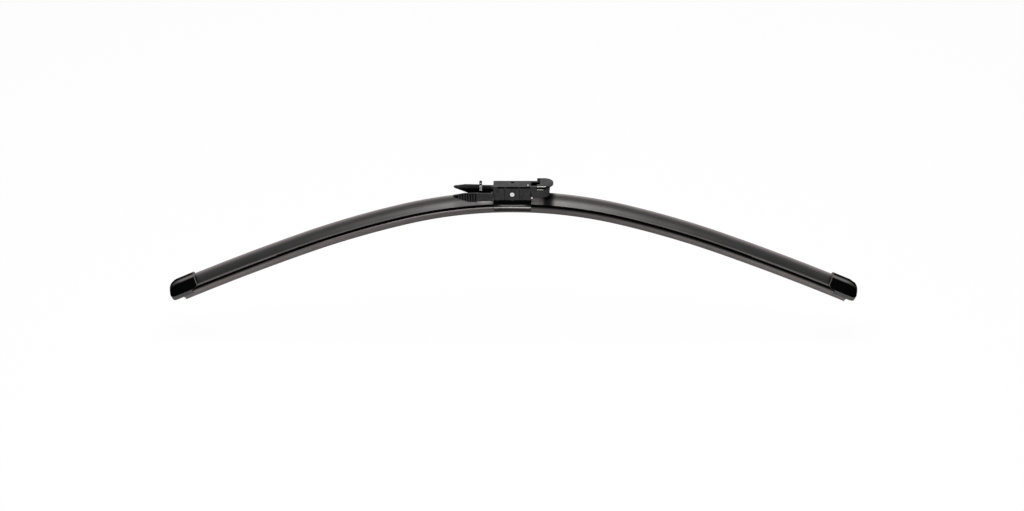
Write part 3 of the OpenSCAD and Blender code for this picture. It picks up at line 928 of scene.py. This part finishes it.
def finished(
    bm: Mesh,
    name: str,
    body: Body,
    finishes: tuple[str, ...],
    stands_for: tuple[str, ...] = (),
    smooth: float = 32.0,
    unrolled: bool = False,
) -> bpy.types.Object:
    """Turns a mesh into a piece of the blade.

    Args:
        bm: the mesh, which is freed.
        name: the piece's name.
        body: the body that it rides on.
        finishes: names of its finishes, by material index.
        stands_for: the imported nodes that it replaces.
        smooth: edges flatter than this angle are shaded smooth, in degrees.
        unrolled: whether it carries the coordinates along the bent blade.

    Returns:
        The piece.
    """
    for edge in bm.edges:
        edge.smooth = edge.calc_face_angle(math.pi) < math.radians(smooth)
    for face in bm.faces:
        face.smooth = True
    mesh = bpy.data.meshes.new(name)
    bm.to_mesh(mesh)
    bm.free()
    if unrolled:
        layer = mesh.attributes.new("unrolled", "FLOAT_VECTOR", "POINT")
        for vert, item in zip(mesh.vertices, layer.data):
            item.vector = CURVE.unrolled(vert.co)
    piece = bpy.data.objects.new(name, mesh)
    bpy.context.scene.collection.objects.link(piece)
    for finish in finishes:
        mesh.materials.append(FINISHES.made(finish))
    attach(piece, body.value)
    if stands_for:
        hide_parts(*stands_for)
    LOG.info("%s: %d faces, rides on %s", name, len(mesh.polygons), body.value)
    return piece


def merged(node: str) -> Mesh:
    """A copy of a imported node's mesh with its loose triangles joined into flat faces.

    Args:
        node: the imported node's name.

    Returns:
        The joined mesh.
    """
    bm = bmesh.new()
    bm.from_mesh(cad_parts[node].data)
    bmesh.ops.remove_doubles(bm, verts=bm.verts, dist=2e-6)
    bmesh.ops.dissolve_limit(bm, angle_limit=math.radians(0.6), verts=bm.verts, edges=bm.edges)
    bmesh.ops.recalc_face_normals(bm, faces=bm.faces)
    return bm


def eased(bm: Mesh, width: float, angle: float = 40.0, segments: int = 2) -> None:
    """Breaks the sharp edges of a mesh.

    Args:
        bm: the mesh.
        width: width of the broken edge, in millimetres.
        angle: edges sharper than this are broken, in degrees.
        segments: parts of each rounding.
    """
    limit = math.radians(angle)
    edges = [e for e in bm.edges if len(e.link_faces) == 2 and e.calc_face_angle(0.0) > limit]
    bmesh.ops.bevel(
        bm,
        geom=edges,
        offset=width * MM,
        offset_type="OFFSET",
        segments=segments,
        profile=0.5,
        affect="EDGES",
        material=-1,
        clamp_overlap=True,
    )


@dataclass
class WipingRubber:
    """The rubber and the two spring rails in its grooves.

    Attributes:
        reach: the rubber's left and right reach from the pin.
        lip: half width of the lip's edge and of its root, and the lip's height.
        shoulder: half width and height of the shoulders.
        web: half width and height of the web.
        flange: half width and height of the flange.
        neck: half width of the neck and its height.
        crown: half width and height of the crown.
    """

    reach: Point = (329.5, 331.5)
    lip: Triple = (0.35, 0.5, 2.2)
    shoulder: Point = (2.6, 2.1)
    web: Point = (0.5, 0.7)
    flange: Point = (2.7, 1.0)
    neck: Point = (1.1, 1.1)
    crown: Point = (2.5, 1.1)

    def half(self) -> list[Point]:
        """The right half of the section.

        Returns:
            Its points from the lip's edge upwards.
        """
        heights = [self.lip[2]]
        for part in (self.shoulder, self.web, self.flange, self.neck, self.crown):
            heights.append(heights[-1] + part[1])
        lip, shoulder, web, flange, neck, crown = heights
        return [
            (0.0, self.lip[0]),
            (lip, self.lip[1]),
            (lip + self.shoulder[1] / 5, self.lip[1] * 2),
            (shoulder - self.shoulder[1] / 3, self.shoulder[0]),
            (shoulder, self.shoulder[0]),
            (shoulder, self.web[0]),
            (web, self.web[0]),
            (web, self.flange[0]),
            (flange, self.flange[0]),
            (flange, self.neck[0]),
            (neck, self.neck[0]),
            (neck, self.crown[0]),
            (crown, self.crown[0]),
        ]

    def build(self) -> None:
        """Sweeps the rubber along the curve."""
        half = self.half()
        section = Section().to(*half).to(*[(h, -f) for h, f in reversed(half)])
        bm = section.closed(0.12)
        bmesh.ops.transform(bm, matrix=CURVE.place(-self.reach[0]), verts=bm.verts)
        CURVE.sweep(bm, -self.reach[0], self.reach[1])
        bmesh.ops.recalc_face_normals(bm, faces=bm.faces)
        finished(bm, "rubber", Body.BLADE, ("rubber",), ("wiper_rubber",), unrolled=True)

    def dress(self) -> None:
        """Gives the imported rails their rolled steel."""
        for node in ("front_rail", "rear_rail"):
            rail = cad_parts[node]
            rail.material_slots[0].material = FINISHES.made("rail")
            LOG.info("%s: packed solid with rolled steel", node)


@dataclass
class Spoiler:
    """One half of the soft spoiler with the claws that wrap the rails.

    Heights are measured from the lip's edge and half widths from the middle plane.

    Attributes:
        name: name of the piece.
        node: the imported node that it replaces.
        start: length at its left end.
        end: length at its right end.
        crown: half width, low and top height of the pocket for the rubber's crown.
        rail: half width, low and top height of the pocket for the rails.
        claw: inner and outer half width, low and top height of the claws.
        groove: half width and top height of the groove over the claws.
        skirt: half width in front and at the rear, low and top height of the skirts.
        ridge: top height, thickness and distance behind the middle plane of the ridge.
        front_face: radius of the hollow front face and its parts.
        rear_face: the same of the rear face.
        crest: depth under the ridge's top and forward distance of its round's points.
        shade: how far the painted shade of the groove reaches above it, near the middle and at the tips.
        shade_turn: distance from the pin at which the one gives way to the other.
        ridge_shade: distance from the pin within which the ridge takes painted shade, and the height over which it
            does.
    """

    name: str
    node: str
    start: float
    end: float

    crown: Triple = (2.7, 7.1, 8.4)
    rail: Triple = (5.3, 6.0, 7.1)
    claw: tuple[float, float, float, float] = (3.9, 6.0, 5.3, 8.8)
    groove: Point = (4.5, 11.2)
    skirt: tuple[float, float, float, float] = (6.8, 6.5, 11.5, 12.0)
    ridge: Triple = (20.9, 2.4, 1.5)
    front_face: tuple[float, int] = (17.0, 10)
    rear_face: tuple[float, int] = (26.0, 6)
    crest: Levels = (
        (0.75, 1.17), (0.38, 0.92), (0.1, 0.55), (0.0, 0.12), (0.0, -0.12), (0.1, -0.55), (0.38, -0.92), (0.75, -1.17)
    )
    shade: Point = (0.75, 0.25)
    shade_turn: float = 230.0
    ridge_shade: Point = (32.0, 17.5)

    def foot(self, side: int) -> list[Point]:
        """The claw on one side.

        Args:
            side: 1 for the front, -1 for the rear.

        Returns:
            Its points from the crown's pocket out to the groove.
        """
        crown, crown_low, crown_top = self.crown
        rail, rail_low, rail_top = self.rail
        inner, outer, low, top = self.claw
        groove, groove_top = self.groove
        points = [(crown_top, crown), (crown_low, crown), (rail_top, rail), (rail_low, rail), (rail_low, inner)]
        points += [(low, inner), (low, outer), (top, outer), (top, groove), (groove_top, groove)]
        return [(h, side * f) for h, f in points]

    def section(self) -> Mesh:
        """Draws the claws, the skirts and the ridge.

        Returns:
            The filled section.
        """
        front, rear, low, skirt_top = self.skirt
        top, thick, back = self.ridge
        neck, half = top - thick / 2, thick * 0.55
        section = Section().to(*self.foot(1))
        section.to((low, front), (skirt_top, front), sharp=True)
        section.hollow(neck, half - back, *self.front_face)
        section.to(*((top - down, out - back) for down, out in self.crest), sharp=True)
        section.to((neck, -half - back), sharp=True)
        section.hollow(skirt_top, -rear, *self.rear_face)
        section.to((low, -rear), sharp=True)
        section.to(*reversed(self.foot(-1)))
        return section.closed(0.18)

    def build(self) -> None:
        """Sweeps the spoiler along the curve and tells the claws and the groove's painted shade from the body."""
        bm = self.section()
        bmesh.ops.transform(bm, matrix=CURVE.place(self.start), verts=bm.verts)
        CURVE.sweep(bm, self.start, self.end)
        bmesh.ops.recalc_face_normals(bm, faces=bm.faces)
        for face in bm.faces:
            place = CURVE.unrolled(face.calc_center_median()) / MM
            distance = abs(place.x)
            # Faces under this top, and the ridge beside the connector, take the groove's painted shade.
            painted_shade_top = self.groove[1] + self.shade[distance >= self.shade_turn]
            if place.z < self.claw[3] - 0.05:
                face.material_index = 1
            elif place.z < painted_shade_top or (distance < self.ridge_shade[0] and place.z > self.ridge_shade[1]):
                face.material_index = 2
        finished(bm, self.name, Body.BLADE, ("spoiler", "claw", "groove"), (self.node,), unrolled=True)


@dataclass
class EndCap:
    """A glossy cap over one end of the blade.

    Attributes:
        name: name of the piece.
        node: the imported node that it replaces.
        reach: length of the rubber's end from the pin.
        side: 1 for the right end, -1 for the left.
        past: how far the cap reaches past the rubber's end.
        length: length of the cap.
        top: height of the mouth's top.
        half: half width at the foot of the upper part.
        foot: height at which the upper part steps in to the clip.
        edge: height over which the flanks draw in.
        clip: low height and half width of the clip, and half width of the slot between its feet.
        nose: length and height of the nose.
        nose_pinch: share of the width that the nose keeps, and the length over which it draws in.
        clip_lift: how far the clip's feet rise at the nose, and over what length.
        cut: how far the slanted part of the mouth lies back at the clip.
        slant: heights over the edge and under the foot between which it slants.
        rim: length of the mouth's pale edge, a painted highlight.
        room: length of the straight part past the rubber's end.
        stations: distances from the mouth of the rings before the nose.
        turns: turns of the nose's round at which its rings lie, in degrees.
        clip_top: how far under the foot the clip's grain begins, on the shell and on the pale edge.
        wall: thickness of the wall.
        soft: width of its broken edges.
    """

    name: str
    node: str
    reach: float
    side: int
    past: float

    length: float = 30.2
    top: float = 23.1
    half: float = 7.77
    foot: float = 10.7
    edge: float = 11.2
    clip: Triple = (5.4, 6.29, 2.95)
    nose: Point = (12.4, 11.4)
    nose_pinch: Point = (0.45, 7.0)
    clip_lift: Point = (2.0, 3.0)
    cut: float = 7.8
    slant: Point = (0.6, 1.2)
    rim: float = 0.4
    room: float = 0.7
    stations: tuple[float, ...] = (0.0, 8.6, 11.0, 15.0)
    turns: tuple[float, ...] = (32, 42, 52, 61, 69, 76, 82, 86.5, 90)
    clip_top: Point = (0.62, 1.2)
    wall: float = 1.0
    soft: float = 0.15

    def outline(self) -> list[Point]:
        """The mouth's outline.

        Returns:
            Its points from the slot's front edge over the top to its rear edge.
        """
        low, out, slot = self.clip
        front = [
            (low, slot),
            (low, out - 0.7),
            (low + 0.5, out),
            (7.0, out),
            (self.foot - 1.15, self.half - 0.67),
            (self.foot - 0.6, self.half - 0.5),
            (self.foot - 0.15, self.half - 0.35),
            (self.foot, self.half),
            (self.edge, self.half),
            (self.edge + 2.0, self.half * 0.97),
            (self.edge + 4.0, self.half * 0.89),
            (self.edge + 6.0, self.half * 0.74),
            (self.edge + 8.2, self.half * 0.52),
            (self.top - 1.6, self.half * 0.31),
            (self.top - 0.5, self.half * 0.12),
        ]
        rear = [(h, -f - (1.5 * max(h - self.edge, 0.0) / (self.top - self.edge))) for h, f in front]
        return [*front, (self.top, -1.1), *reversed(rear)]

    def eased_off(self, t: float, length: float) -> float:
        """Quarter round towards the nose's tip.

        Args:
            t: distance from the mouth.
            length: length of the round, which ends at the tip.

        Returns:
            1 before the round and 0 at the tip.
        """
        return math.sqrt(max(1.0 - (max(t - (self.length - length), 0.0) / length) ** 2, 0.0))

    def carried(self, point: Point, t: float) -> Vector:
        """A point of the outline at the distance t from the mouth.

        Args:
            point: its height and forward distance at the mouth.
            t: distance from the mouth.

        Returns:
            Its place in the cap's own frame, in metres.
        """
        height, forward = point
        nose_length, nose_height = self.nose
        crest = nose_height + (self.top - nose_height) * self.eased_off(t, nose_length)
        if height > self.edge:
            height = self.edge + (height - self.edge) * (crest - self.edge) / (self.top - self.edge)
        lift, over = self.clip_lift
        height = max(height, self.clip[0] + lift * (1.0 - self.eased_off(t, over)))
        kept, over = self.nose_pinch
        forward *= kept + (1.0 - kept) * self.eased_off(t, over)
        return Vector((t, -forward, height)) * MM

    def mouth(self, height: float) -> float:
        """Where the mouth's edge lies at a height, in millimetres from its furthest point."""
        high, low = self.edge + self.slant[0], self.foot - self.slant[1]
        return self.cut * min(max((high - height) / (high - low), 0.0), 1.0)

    def shell(self) -> Mesh:
        """Lofts the shell ring by ring and closes its nose.

        Returns:
            The shell in the cap's own frame, with each point's place unrolled from the mouth.
        """
        outline = self.outline()
        bm = bmesh.new()
        layer = bm.verts.layers.float_vector.new("unrolled")

        def settle(ring: list[bmesh.types.BMVert], t: float, rim: float) -> None:
            """Puts a ring in its place, on the mouth's slant where that lies further.

            Args:
                ring: the ring's points.
                t: distance from the mouth's furthest point.
                rim: distance kept from the slant.
            """
            for vert, point in zip(ring, outline):
                reach = max(t, self.mouth(point[0]) + rim)
                vert.co = self.carried(point, reach)
                vert[layer] = Vector((reach, -point[1], point[0])) * MM

        ring = [bm.verts.new() for _ in outline]
        settle(ring, 0.0, 0.0)
        edges = [bm.edges.new(pair) for pair in zip(ring, ring[1:])]
        start = self.length - self.nose[0]
        stops = [(t, False) for t in (*self.stations, start)] + [(self.length - self.past + self.room, True)]
        stops += [(start + self.nose[0] * math.sin(math.radians(turn)), True) for turn in self.turns]
        for t, closed in stops:
            made = bmesh.ops.extrude_edge_only(bm, edges=edges)["geom"]
            fresh = [item for item in made if isinstance(item, bmesh.types.BMVert)]
            follow = {v: next(e.other_vert(v) for e in v.link_edges if e.other_vert(v) in ring) for v in fresh}
            old, ring = ring, [next(v for v in fresh if follow[v] is base) for base in ring]
            settle(ring, t, self.rim)
            # The band round the mouth takes the painted highlight of the cap's edge.
            for face in made:
                if isinstance(face, bmesh.types.BMFace):
                    face.material_index = 0 if t else 2
            edges = [e for e in bm.edges if e.verts[0] in ring and e.verts[1] in ring]
            if closed:
                bmesh.ops.contextual_create(bm, geom=[old[0], old[-1], ring[0], ring[-1]])
        bmesh.ops.contextual_create(bm, geom=[ring[0], ring[-1]])
        last = [e for e in bm.edges if e.is_boundary and all(v in ring for v in e.verts)]
        bmesh.ops.holes_fill(bm, edges=last, sides=0)
        bmesh.ops.remove_doubles(bm, verts=bm.verts, dist=2e-6)
        bmesh.ops.recalc_face_normals(bm, faces=bm.faces)
        return bm

    def build(self) -> None:
        """Sets the shell on the blade's end, tells the clip from it and gives it a wall."""
        bm = self.shell()
        place = CURVE.place(self.side * self.reach) @ Matrix.Scale(self.side, 4, (1.0, 0.0, 0.0))
        place = place @ Matrix.Translation(((self.past - self.length) * MM, 0.0, 0.0))
        bmesh.ops.transform(bm, matrix=place, verts=bm.verts)
        bmesh.ops.recalc_face_normals(bm, faces=bm.faces)
        for face in bm.faces:
            height = CURVE.unrolled(face.calc_center_median()).z / MM
            if height < self.foot - self.clip_top[bool(face.material_index)]:
                face.material_index = 1
        piece = finished(bm, self.name, Body.BLADE, ("cap", "clip", "cap_edge"), (self.node,), smooth=28.0)
        wall = piece.modifiers.new("wall", "SOLIDIFY")
        wall.thickness = self.wall * MM
        wall.offset = -1.0
        soft = piece.modifiers.new("soft_edges", "BEVEL")
        soft.width = self.soft * MM
        soft.segments = 2
        soft.limit_method = "ANGLE"
        soft.angle_limit = math.radians(35)


@dataclass(frozen=True)
class Mark:
    """A box whose faces take another finish, in millimetres.

    Attributes:
        finish: the finish's index.
        x: range along the blade.
        y: range from the middle plane, on both sides.
        z: range of height.
        facing: axis that the faces look along, or -1 for every face.
    """

    finish: int
    x: Point
    y: Point
    z: Point
    facing: int = -1

    def holds(self, centre: Vector, normal: Vector) -> bool:
        """Whether a face is the mark's.

        Args:
            centre: the face's centre, in millimetres.
            normal: the face's normal.

        Returns:
            True inside the box and, where an axis is named, when the face looks along it.
        """
        inside = self.x[0] < centre.x < self.x[1] and self.z[0] < centre.z < self.z[1]
        inside = inside and self.y[0] < abs(centre.y) < self.y[1]
        return inside and (self.facing < 0 or abs(normal[self.facing]) > 0.5)


@dataclass
class CentreFittings:
    """The bracket, the pin, the connector and its two levers.

    Attributes:
        grip_top: height over which the bracket's walls take painted shade.
        rung: the notched post's rungs on the rear lever, which take painted highlights.
        inner: length and height up to which the rear lever's inner side takes painted shade.
        rib_gap: place of the levers' first gap between ribs, their pitch and their number.
        rib_half: half length of a gap.
        rib_long: faces longer than this run past several ribs.
        rib_inner: distance from the middle plane over which the ribs lie.
        deep: half width and height within which the connector's upright faces are in shade.
        head: length at which the head begins, and height down to which its upright faces are in shade.
        ends: distance from the pin beyond which faces that look along the blade stay plain.
        marks: the connector's places of painted shade and painted glints.
        cuts: places of the planes across each axis that part those places from their faces.
        pips: centre of the moulding's two small pips, which carry painted glints, and the axis that they stand along.
        pip: radius and height of a pip.
        plain: body, slot, finish and width of the broken edges of each packed fitting.
    """

    grip_top: float = -19.3
    rung: Mark = Mark(2, (-31.17, -28.57), (-1.0, 7.15), (-10.6, -5.2))
    inner: Point = (-17.0, -8.4)
    rib_gap: tuple[float, float, int] = (-34.2, -2.4, 9)
    rib_half: float = 0.6
    rib_long: float = 3.0
    rib_inner: float = 9.0
    deep: Point = (7.7, -0.35)
    head: Point = (23.0, -2.2)
    ends: float = 17.3
    # Finish 1 is painted shade, finish 2 painted glints.
    marks: tuple[Mark, ...] = (
        Mark(1, (-17.0, 17.0), (-1.0, 7.15), (-20.0, -1.2), 2),
        Mark(1, (-14.0, -7.2), (6.25, 7.15), (-1.6, 0.02)),
        Mark(1, (-6.0, 6.0), (6.25, 7.15), (-1.6, 0.02)),
        Mark(1, (7.2, 16.8), (6.25, 7.15), (-1.6, 0.02)),
        Mark(1, (-1.4, 1.9), (1.6, 4.9), (-9.0, -0.02)),
        Mark(1, (-1.2, 1.7), (4.3, 4.9), (-0.1, 0.1)),
        Mark(1, (23.0, 40.0), (7.2, 9.1), (-2.2, 1.2)),
        Mark(1, (33.0, 40.0), (8.0, 9.1), (-2.2, 1.7)),
        Mark(2, (23.2, 31.5), (8.4, 9.1), (1.2, 1.79)),
        Mark(2, (23.2, 29.5), (7.3, 8.1), (-2.45, -1.9)),
        Mark(2, (-15.4, -12.6), (7.0, 8.1), (-13.2, -12.75)),
        Mark(2, (12.7, 16.5), (7.0, 8.1), (-13.2, -12.75)),
    )
    cuts: tuple[tuple[float, ...], ...] = (
        (-15.4, -14.0, -12.6, -7.2, -6.0, -1.2, 1.7, 6.0, 7.2, 12.7, 16.5, 16.8, 23.2, 29.5, 31.5, 33.0),
        (-7.15, -6.25, 4.3, 4.9, 6.25, 7.15),
        (-2.45, -1.9, 1.2),
    )
    pips: tuple[tuple[Vector, int], ...] = ((Vector((14.7, -2.6, 0.0)), 2), (Vector((18.4, -8.0, -10.7)), 1))
    pip: Point = (0.8, 0.35)
    plain: dict[str, tuple[Body, Slot, str, float]] = field(
        default_factory=lambda: {
            "connector_body": (Body.CONNECTOR, Slot.MOULDING, "moulding", 0.16),
            "front_release_lever": (Body.FRONT_LEVER, Slot.MOULDING, "lever", 0.12),
            "rear_release_lever": (Body.REAR_LEVER, Slot.MOULDING, "lever", 0.12),
            "centre_bracket": (Body.BLADE, Slot.BRACKET, "bracket", 0.14),
            "pivot_pin": (Body.BLADE, Slot.PIN, "pin", 0.1),
        }
    )

    def build(self) -> None:
        """Joins, eases and dresses each packed fitting."""
        dress: dict[str, tuple[Callable[[Mesh], None], tuple[str, ...]]] = {
            "connector_body": (self.mark_slots, ("recess", "glint")),
            "front_release_lever": (self.mark_ribs, ("recess",)),
            "rear_release_lever": (self.mark_rungs, ("recess", "rung")),
            "centre_bracket": (self.mark_walls, ("recess",)),
            "pivot_pin": (self.mark_rim, ("pin_edge",)),
        }
        for node, (body, slot, finish, width) in self.plain.items():
            bm = merged(node)
            eased(bm, width)
            mark, more = dress[node]
            mark(bm)
            finished(bm, node + "_finished", body, (finish, *more), (node,), unrolled=node == "centre_bracket")

    def parted(self, bm: Mesh, axis: int, *places: float) -> None:
        """Cuts every face where a plane square to an axis crosses it.

        Args:
            bm: the mesh.
            axis: 0, 1 or 2 for the planes' axis.
            places: where the planes lie, in millimetres.
        """
        normal = Vector([float(k == axis) for k in range(3)])
        for place in places:
            geom = [*bm.verts, *bm.edges, *bm.faces]
            bmesh.ops.bisect_plane(bm, geom=geom, plane_co=normal * place * MM, plane_no=normal, dist=1e-6)

    def mark_walls(self, bm: Mesh) -> None:
        """Gives the bracket's walls above its grips, and its ends, painted shade.

        Args:
            bm: the bracket's mesh.
        """
        self.parted(bm, 2, self.grip_top)
        # Walls above the grips and the ends take painted shade.
        for face in bm.faces:
            if face.calc_center_median().z > self.grip_top * MM or abs(face.normal.x) > 0.3:
                face.material_index = 1

    def mark_rim(self, bm: Mesh) -> None:
        """Paints shade on the broken edge round the pin's ends.

        Args:
            bm: the pin's mesh.
        """
        for face in bm.faces:
            if 0.1 < abs(face.normal.y) < 0.97:
                face.material_index = 1

    def mark_slots(self, bm: Mesh) -> None:
        """Paints shade into the connector's slots, notch, groove and underside, paints glints on its edges and sets its
        pips.

        Args:
            bm: the connector's mesh.
        """
        for axis, places in enumerate(self.cuts):
            self.parted(bm, axis, *places)
        half, top = self.deep
        head, low = self.head
        # Deep upright faces and faces that look down take painted shade; the marks add painted shade and painted
        # glints.
        for face in bm.faces:
            centre, normal = face.calc_center_median() / MM, face.normal
            deep = abs(centre.y) < half and centre.z < top and abs(normal.z) < 0.95
            deep = deep and (centre.x < head or centre.z > low)
            at_end = abs(normal.x) > 0.5 and abs(centre.x) > self.ends
            if (deep or normal.z < -0.5) and not at_end:
                face.material_index = 1
            for mark in self.marks:
                if mark.holds(centre, normal):
                    face.material_index = mark.finish
        # Each pip is a small dome with a painted glint.
        for centre, axis in self.pips:
            turned = Matrix.Rotation(math.radians(90.0), 4, "X") if axis == 1 else Matrix.Identity(4)
            squash = Matrix.Diagonal((self.pip[0] * MM, self.pip[0] * MM, self.pip[1] * MM, 1.0))
            place = Matrix.Translation(centre * MM) @ turned @ squash
            dome = bmesh.ops.create_uvsphere(bm, u_segments=16, v_segments=10, radius=1.0, matrix=place)
            for face in {face for vert in dome["verts"] for face in vert.link_faces}:
                face.material_index = 2

    def mark_ribs(self, bm: Mesh) -> None:
        """Paints shade into the gaps between a lever's ribs.

        Args:
            bm: the lever's mesh.
        """
        first, pitch, count = self.rib_gap
        ends = (first + (count - 1) * pitch - self.rib_half, first + self.rib_half)
        self.parted(bm, 0, *ends)
        for face in bm.faces:
            centre = face.calc_center_median() / MM
            places = [vert.co.x / MM for vert in face.verts]
            off = abs(centre.x - first - round((centre.x - first) / pitch) * pitch)
            if max(places) - min(places) > self.rib_long:
                gap = abs(face.normal.y) > 0.7
            else:
                gap = off < self.rib_half + 0.02 and abs(face.normal.z) < 0.8
            if gap and ends[0] < centre.x < ends[1] and abs(centre.y) > self.rib_inner:
                face.material_index = 1

    def mark_rungs(self, bm: Mesh) -> None:
        """Paints shade on the rear lever's inner side low down and painted highlights on the post's rungs.

        Args:
            bm: the lever's mesh.
        """
        self.mark_ribs(bm)
        end, top = self.inner
        self.parted(bm, 2, top)
        for face in bm.faces:
            centre = face.calc_center_median() / MM
            # Painted shade on the inner side low down, painted highlights on the rungs.
            if face.normal.y < -0.3 and centre.x < end and centre.z < top:
                face.material_index = 1
            if self.rung.holds(centre, face.normal):
                face.material_index = self.rung.finish


@dataclass(frozen=True)
class Softbox:
    """One studio lamp.

    Attributes:
        name: the lamp's name.
        place: where it hangs, in metres.
        size: its width and depth, in metres.
        watts: its power.
        aim: what it points at, in metres.
    """

    name: str
    place: Triple
    size: Point
    watts: float
    aim: Triple = (0.0, 0.0, -0.05)

    def build(self) -> None:
        """Hangs the lamp."""
        data = bpy.data.lights.new(self.name, "AREA")
        data.shape = "RECTANGLE"
        data.size, data.size_y = self.size
        data.energy = self.watts
        lamp = bpy.data.objects.new(self.name, data)
        bpy.context.scene.collection.objects.link(lamp)
        lamp.location = self.place
        lamp.rotation_euler = (Vector(self.aim) - Vector(self.place)).to_track_quat("-Z", "Y").to_euler()


@dataclass
class Studio:
    """Floor, white surroundings, lamps and camera.

    Attributes:
        floor_gap: how far the floor lies under the tips, clear of a tilted blade, in metres.
        floor_half: half the floor's width, in metres.
        floor_tone: the floor's own grey.
        floor_glow: how much of the floor's own white the eye sees in place of that grey.
        fill: strength of the surroundings as light.
        ceiling: strength of the surroundings high above the blade, to the eye and to gloss.
        dusk: upward share of a ray's direction between which they weaken to that.
        azimuth: the camera's turn from the blade's front, in degrees.
        elevation: the camera's height over the blade, in degrees.
        distance: the camera's distance from the pin, in metres.
        roll: the camera's roll, in degrees.
        pin: the pin's axis, in metres.
        aim: what the camera points at, in metres.
        lens: the camera's focal length, in millimetres.
        sensor: its sensor's width, in millimetres.
    """

    floor_gap: float = 0.0405
    floor_half: float = 6.0
    floor_tone: float = 0.8
    floor_glow: float = 0.93
    fill: float = 0.4
    ceiling: float = 0.3
    dusk: Point = (0.42, 0.66)
    azimuth: float = 1.391
    elevation: float = 26.0
    distance: float = 2.5
    roll: float = -0.564
    pin: Triple = (0.0, 0.0, -0.0072)
    aim: Triple = (-0.00026, -0.02671, -0.06147)
    lens: float = 93.881
    sensor: float = 36.0
    lamps: tuple[Softbox, ...] = (
        Softbox("overhead_softbox", (0.0, -0.35, 1.3), (1.0, 1.0), 21.0),
        Softbox("rear_softbox", (0.0, 1.1, 0.9), (1.8, 0.4), 4.0),
    )

    def surroundings(self) -> None:
        """White to the eye, to gloss and through glass, and dim as light."""
        world = bpy.data.worlds.new("white_studio")
        bpy.context.scene.world = world
        world.use_nodes = True
        tree = world.node_tree
        back = tree.nodes["Background"]
        split = tree.nodes.new("ShaderNodeSeparateXYZ")
        tree.links.new(tree.nodes.new("ShaderNodeTexCoord").outputs["Generated"], split.inputs[0])
        ceiling = tree.nodes.new("ShaderNodeMapRange")
        ranges = zip(("From Min", "From Max", "To Min", "To Max"), (*self.dusk, 1.0, self.ceiling))
        for name, number in ranges:
            ceiling.inputs[name].default_value = number
        tree.links.new(split.outputs["Z"], ceiling.inputs["Value"])
        spread = tree.nodes.new("ShaderNodeMapRange")
        spread.inputs["To Min"].default_value = self.fill
        tree.links.new(ceiling.outputs["Result"], spread.inputs["To Max"])
        tree.links.new(seen_directly(tree), spread.inputs["Value"])
        tree.links.new(spread.outputs["Result"], back.inputs["Strength"])
        back.inputs["Color"].default_value = (1.0, 1.0, 1.0, 1.0)

    def floor(self, low: float) -> None:
        """Lays the pale floor under the blade's tips.

        Args:
            low: height of the blade's lowest point, in metres.
        """
        tone = self.floor_tone
        board = NodeBoard("pale_floor")
        board.put(Base_Color=(tone, tone, tone, 1.0), Roughness=0.9, Specular_IOR_Level=0.0)
        glow = board.add("Emission", Strength=1.0)
        mix = board.add("MixShader")
        board.join(board.ramp(seen_directly(board.tree), 0.0, 1.0, 0.0, self.floor_glow), mix.inputs[0])
        board.join(board.shader.outputs[0], mix.inputs[1])
        board.join(glow.outputs[0], mix.inputs[2])
        board.join(mix.outputs[0], board.tree.nodes["Material Output"].inputs["Surface"])
        bm = bmesh.new()
        place = Matrix.Translation((0.0, 0.0, low - self.floor_gap))
        bmesh.ops.create_grid(bm, x_segments=2, y_segments=2, size=self.floor_half, matrix=place)
        mesh = bpy.data.meshes.new("floor")
        bm.to_mesh(mesh)
        bm.free()
        mesh.materials.append(board.material)
        plane = bpy.data.objects.new("floor", mesh)
        bpy.context.scene.collection.objects.link(plane)
        plane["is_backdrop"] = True

    def camera(self) -> None:
        """Sets up the camera at the photograph's angle."""
        azimuth, elevation, roll = (math.radians(v) for v in (self.azimuth, self.elevation, self.roll))
        level = Vector((math.sin(azimuth), -math.cos(azimuth), 0.0)) * math.cos(elevation)
        place = Vector(self.pin) + (level + Vector((0.0, 0.0, math.sin(elevation)))) * self.distance
        back = (place - Vector(self.aim)).normalized()
        right = Vector((0.0, 0.0, 1.0)).cross(back).normalized()
        turned = Matrix((right, back.cross(right), back)).transposed().to_4x4()
        data = bpy.data.cameras.new("camera")
        data.lens = self.lens
        data.sensor_width = self.sensor
        camera = bpy.data.objects.new("camera", data)
        bpy.context.scene.collection.objects.link(camera)
        camera.matrix_world = Matrix.Translation(place) @ turned @ Matrix.Rotation(roll, 4, "Z")
        bpy.context.scene.camera = camera

    def build(self, low: float) -> None:
        """Builds the whole studio.

        Args:
            low: height of the blade's lowest point, in metres.
        """
        self.surroundings()
        self.floor(low)
        for lamp in self.lamps:
            lamp.build()
        self.camera()
        bpy.context.scene.view_settings.view_transform = "Standard"
        LOG.info("studio: floor, %d lamps and camera", len(self.lamps))


def main() -> None:
    """Builds every piece in order and lays the floor under the imported parts' lowest point."""
    logging.basicConfig(level=logging.INFO, format="%(message)s")
    packed = [list(map(float, corner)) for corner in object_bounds()]
    rubber = WipingRubber()
    rubber.build()
    rubber.dress()
    Spoiler("left_spoiler_finished", "left_spoiler", -316.8, -17.15).build()
    Spoiler("right_spoiler_finished", "right_spoiler", 17.15, 315.2).build()
    EndCap("left_cap", "left_end_cap", 329.5, -1, 10.68).build()
    EndCap("right_cap", "right_end_cap", 331.5, 1, 7.08).build()
    CentreFittings().build()
    Studio().build(packed[0][2])


if __name__ == "__main__":
    main()
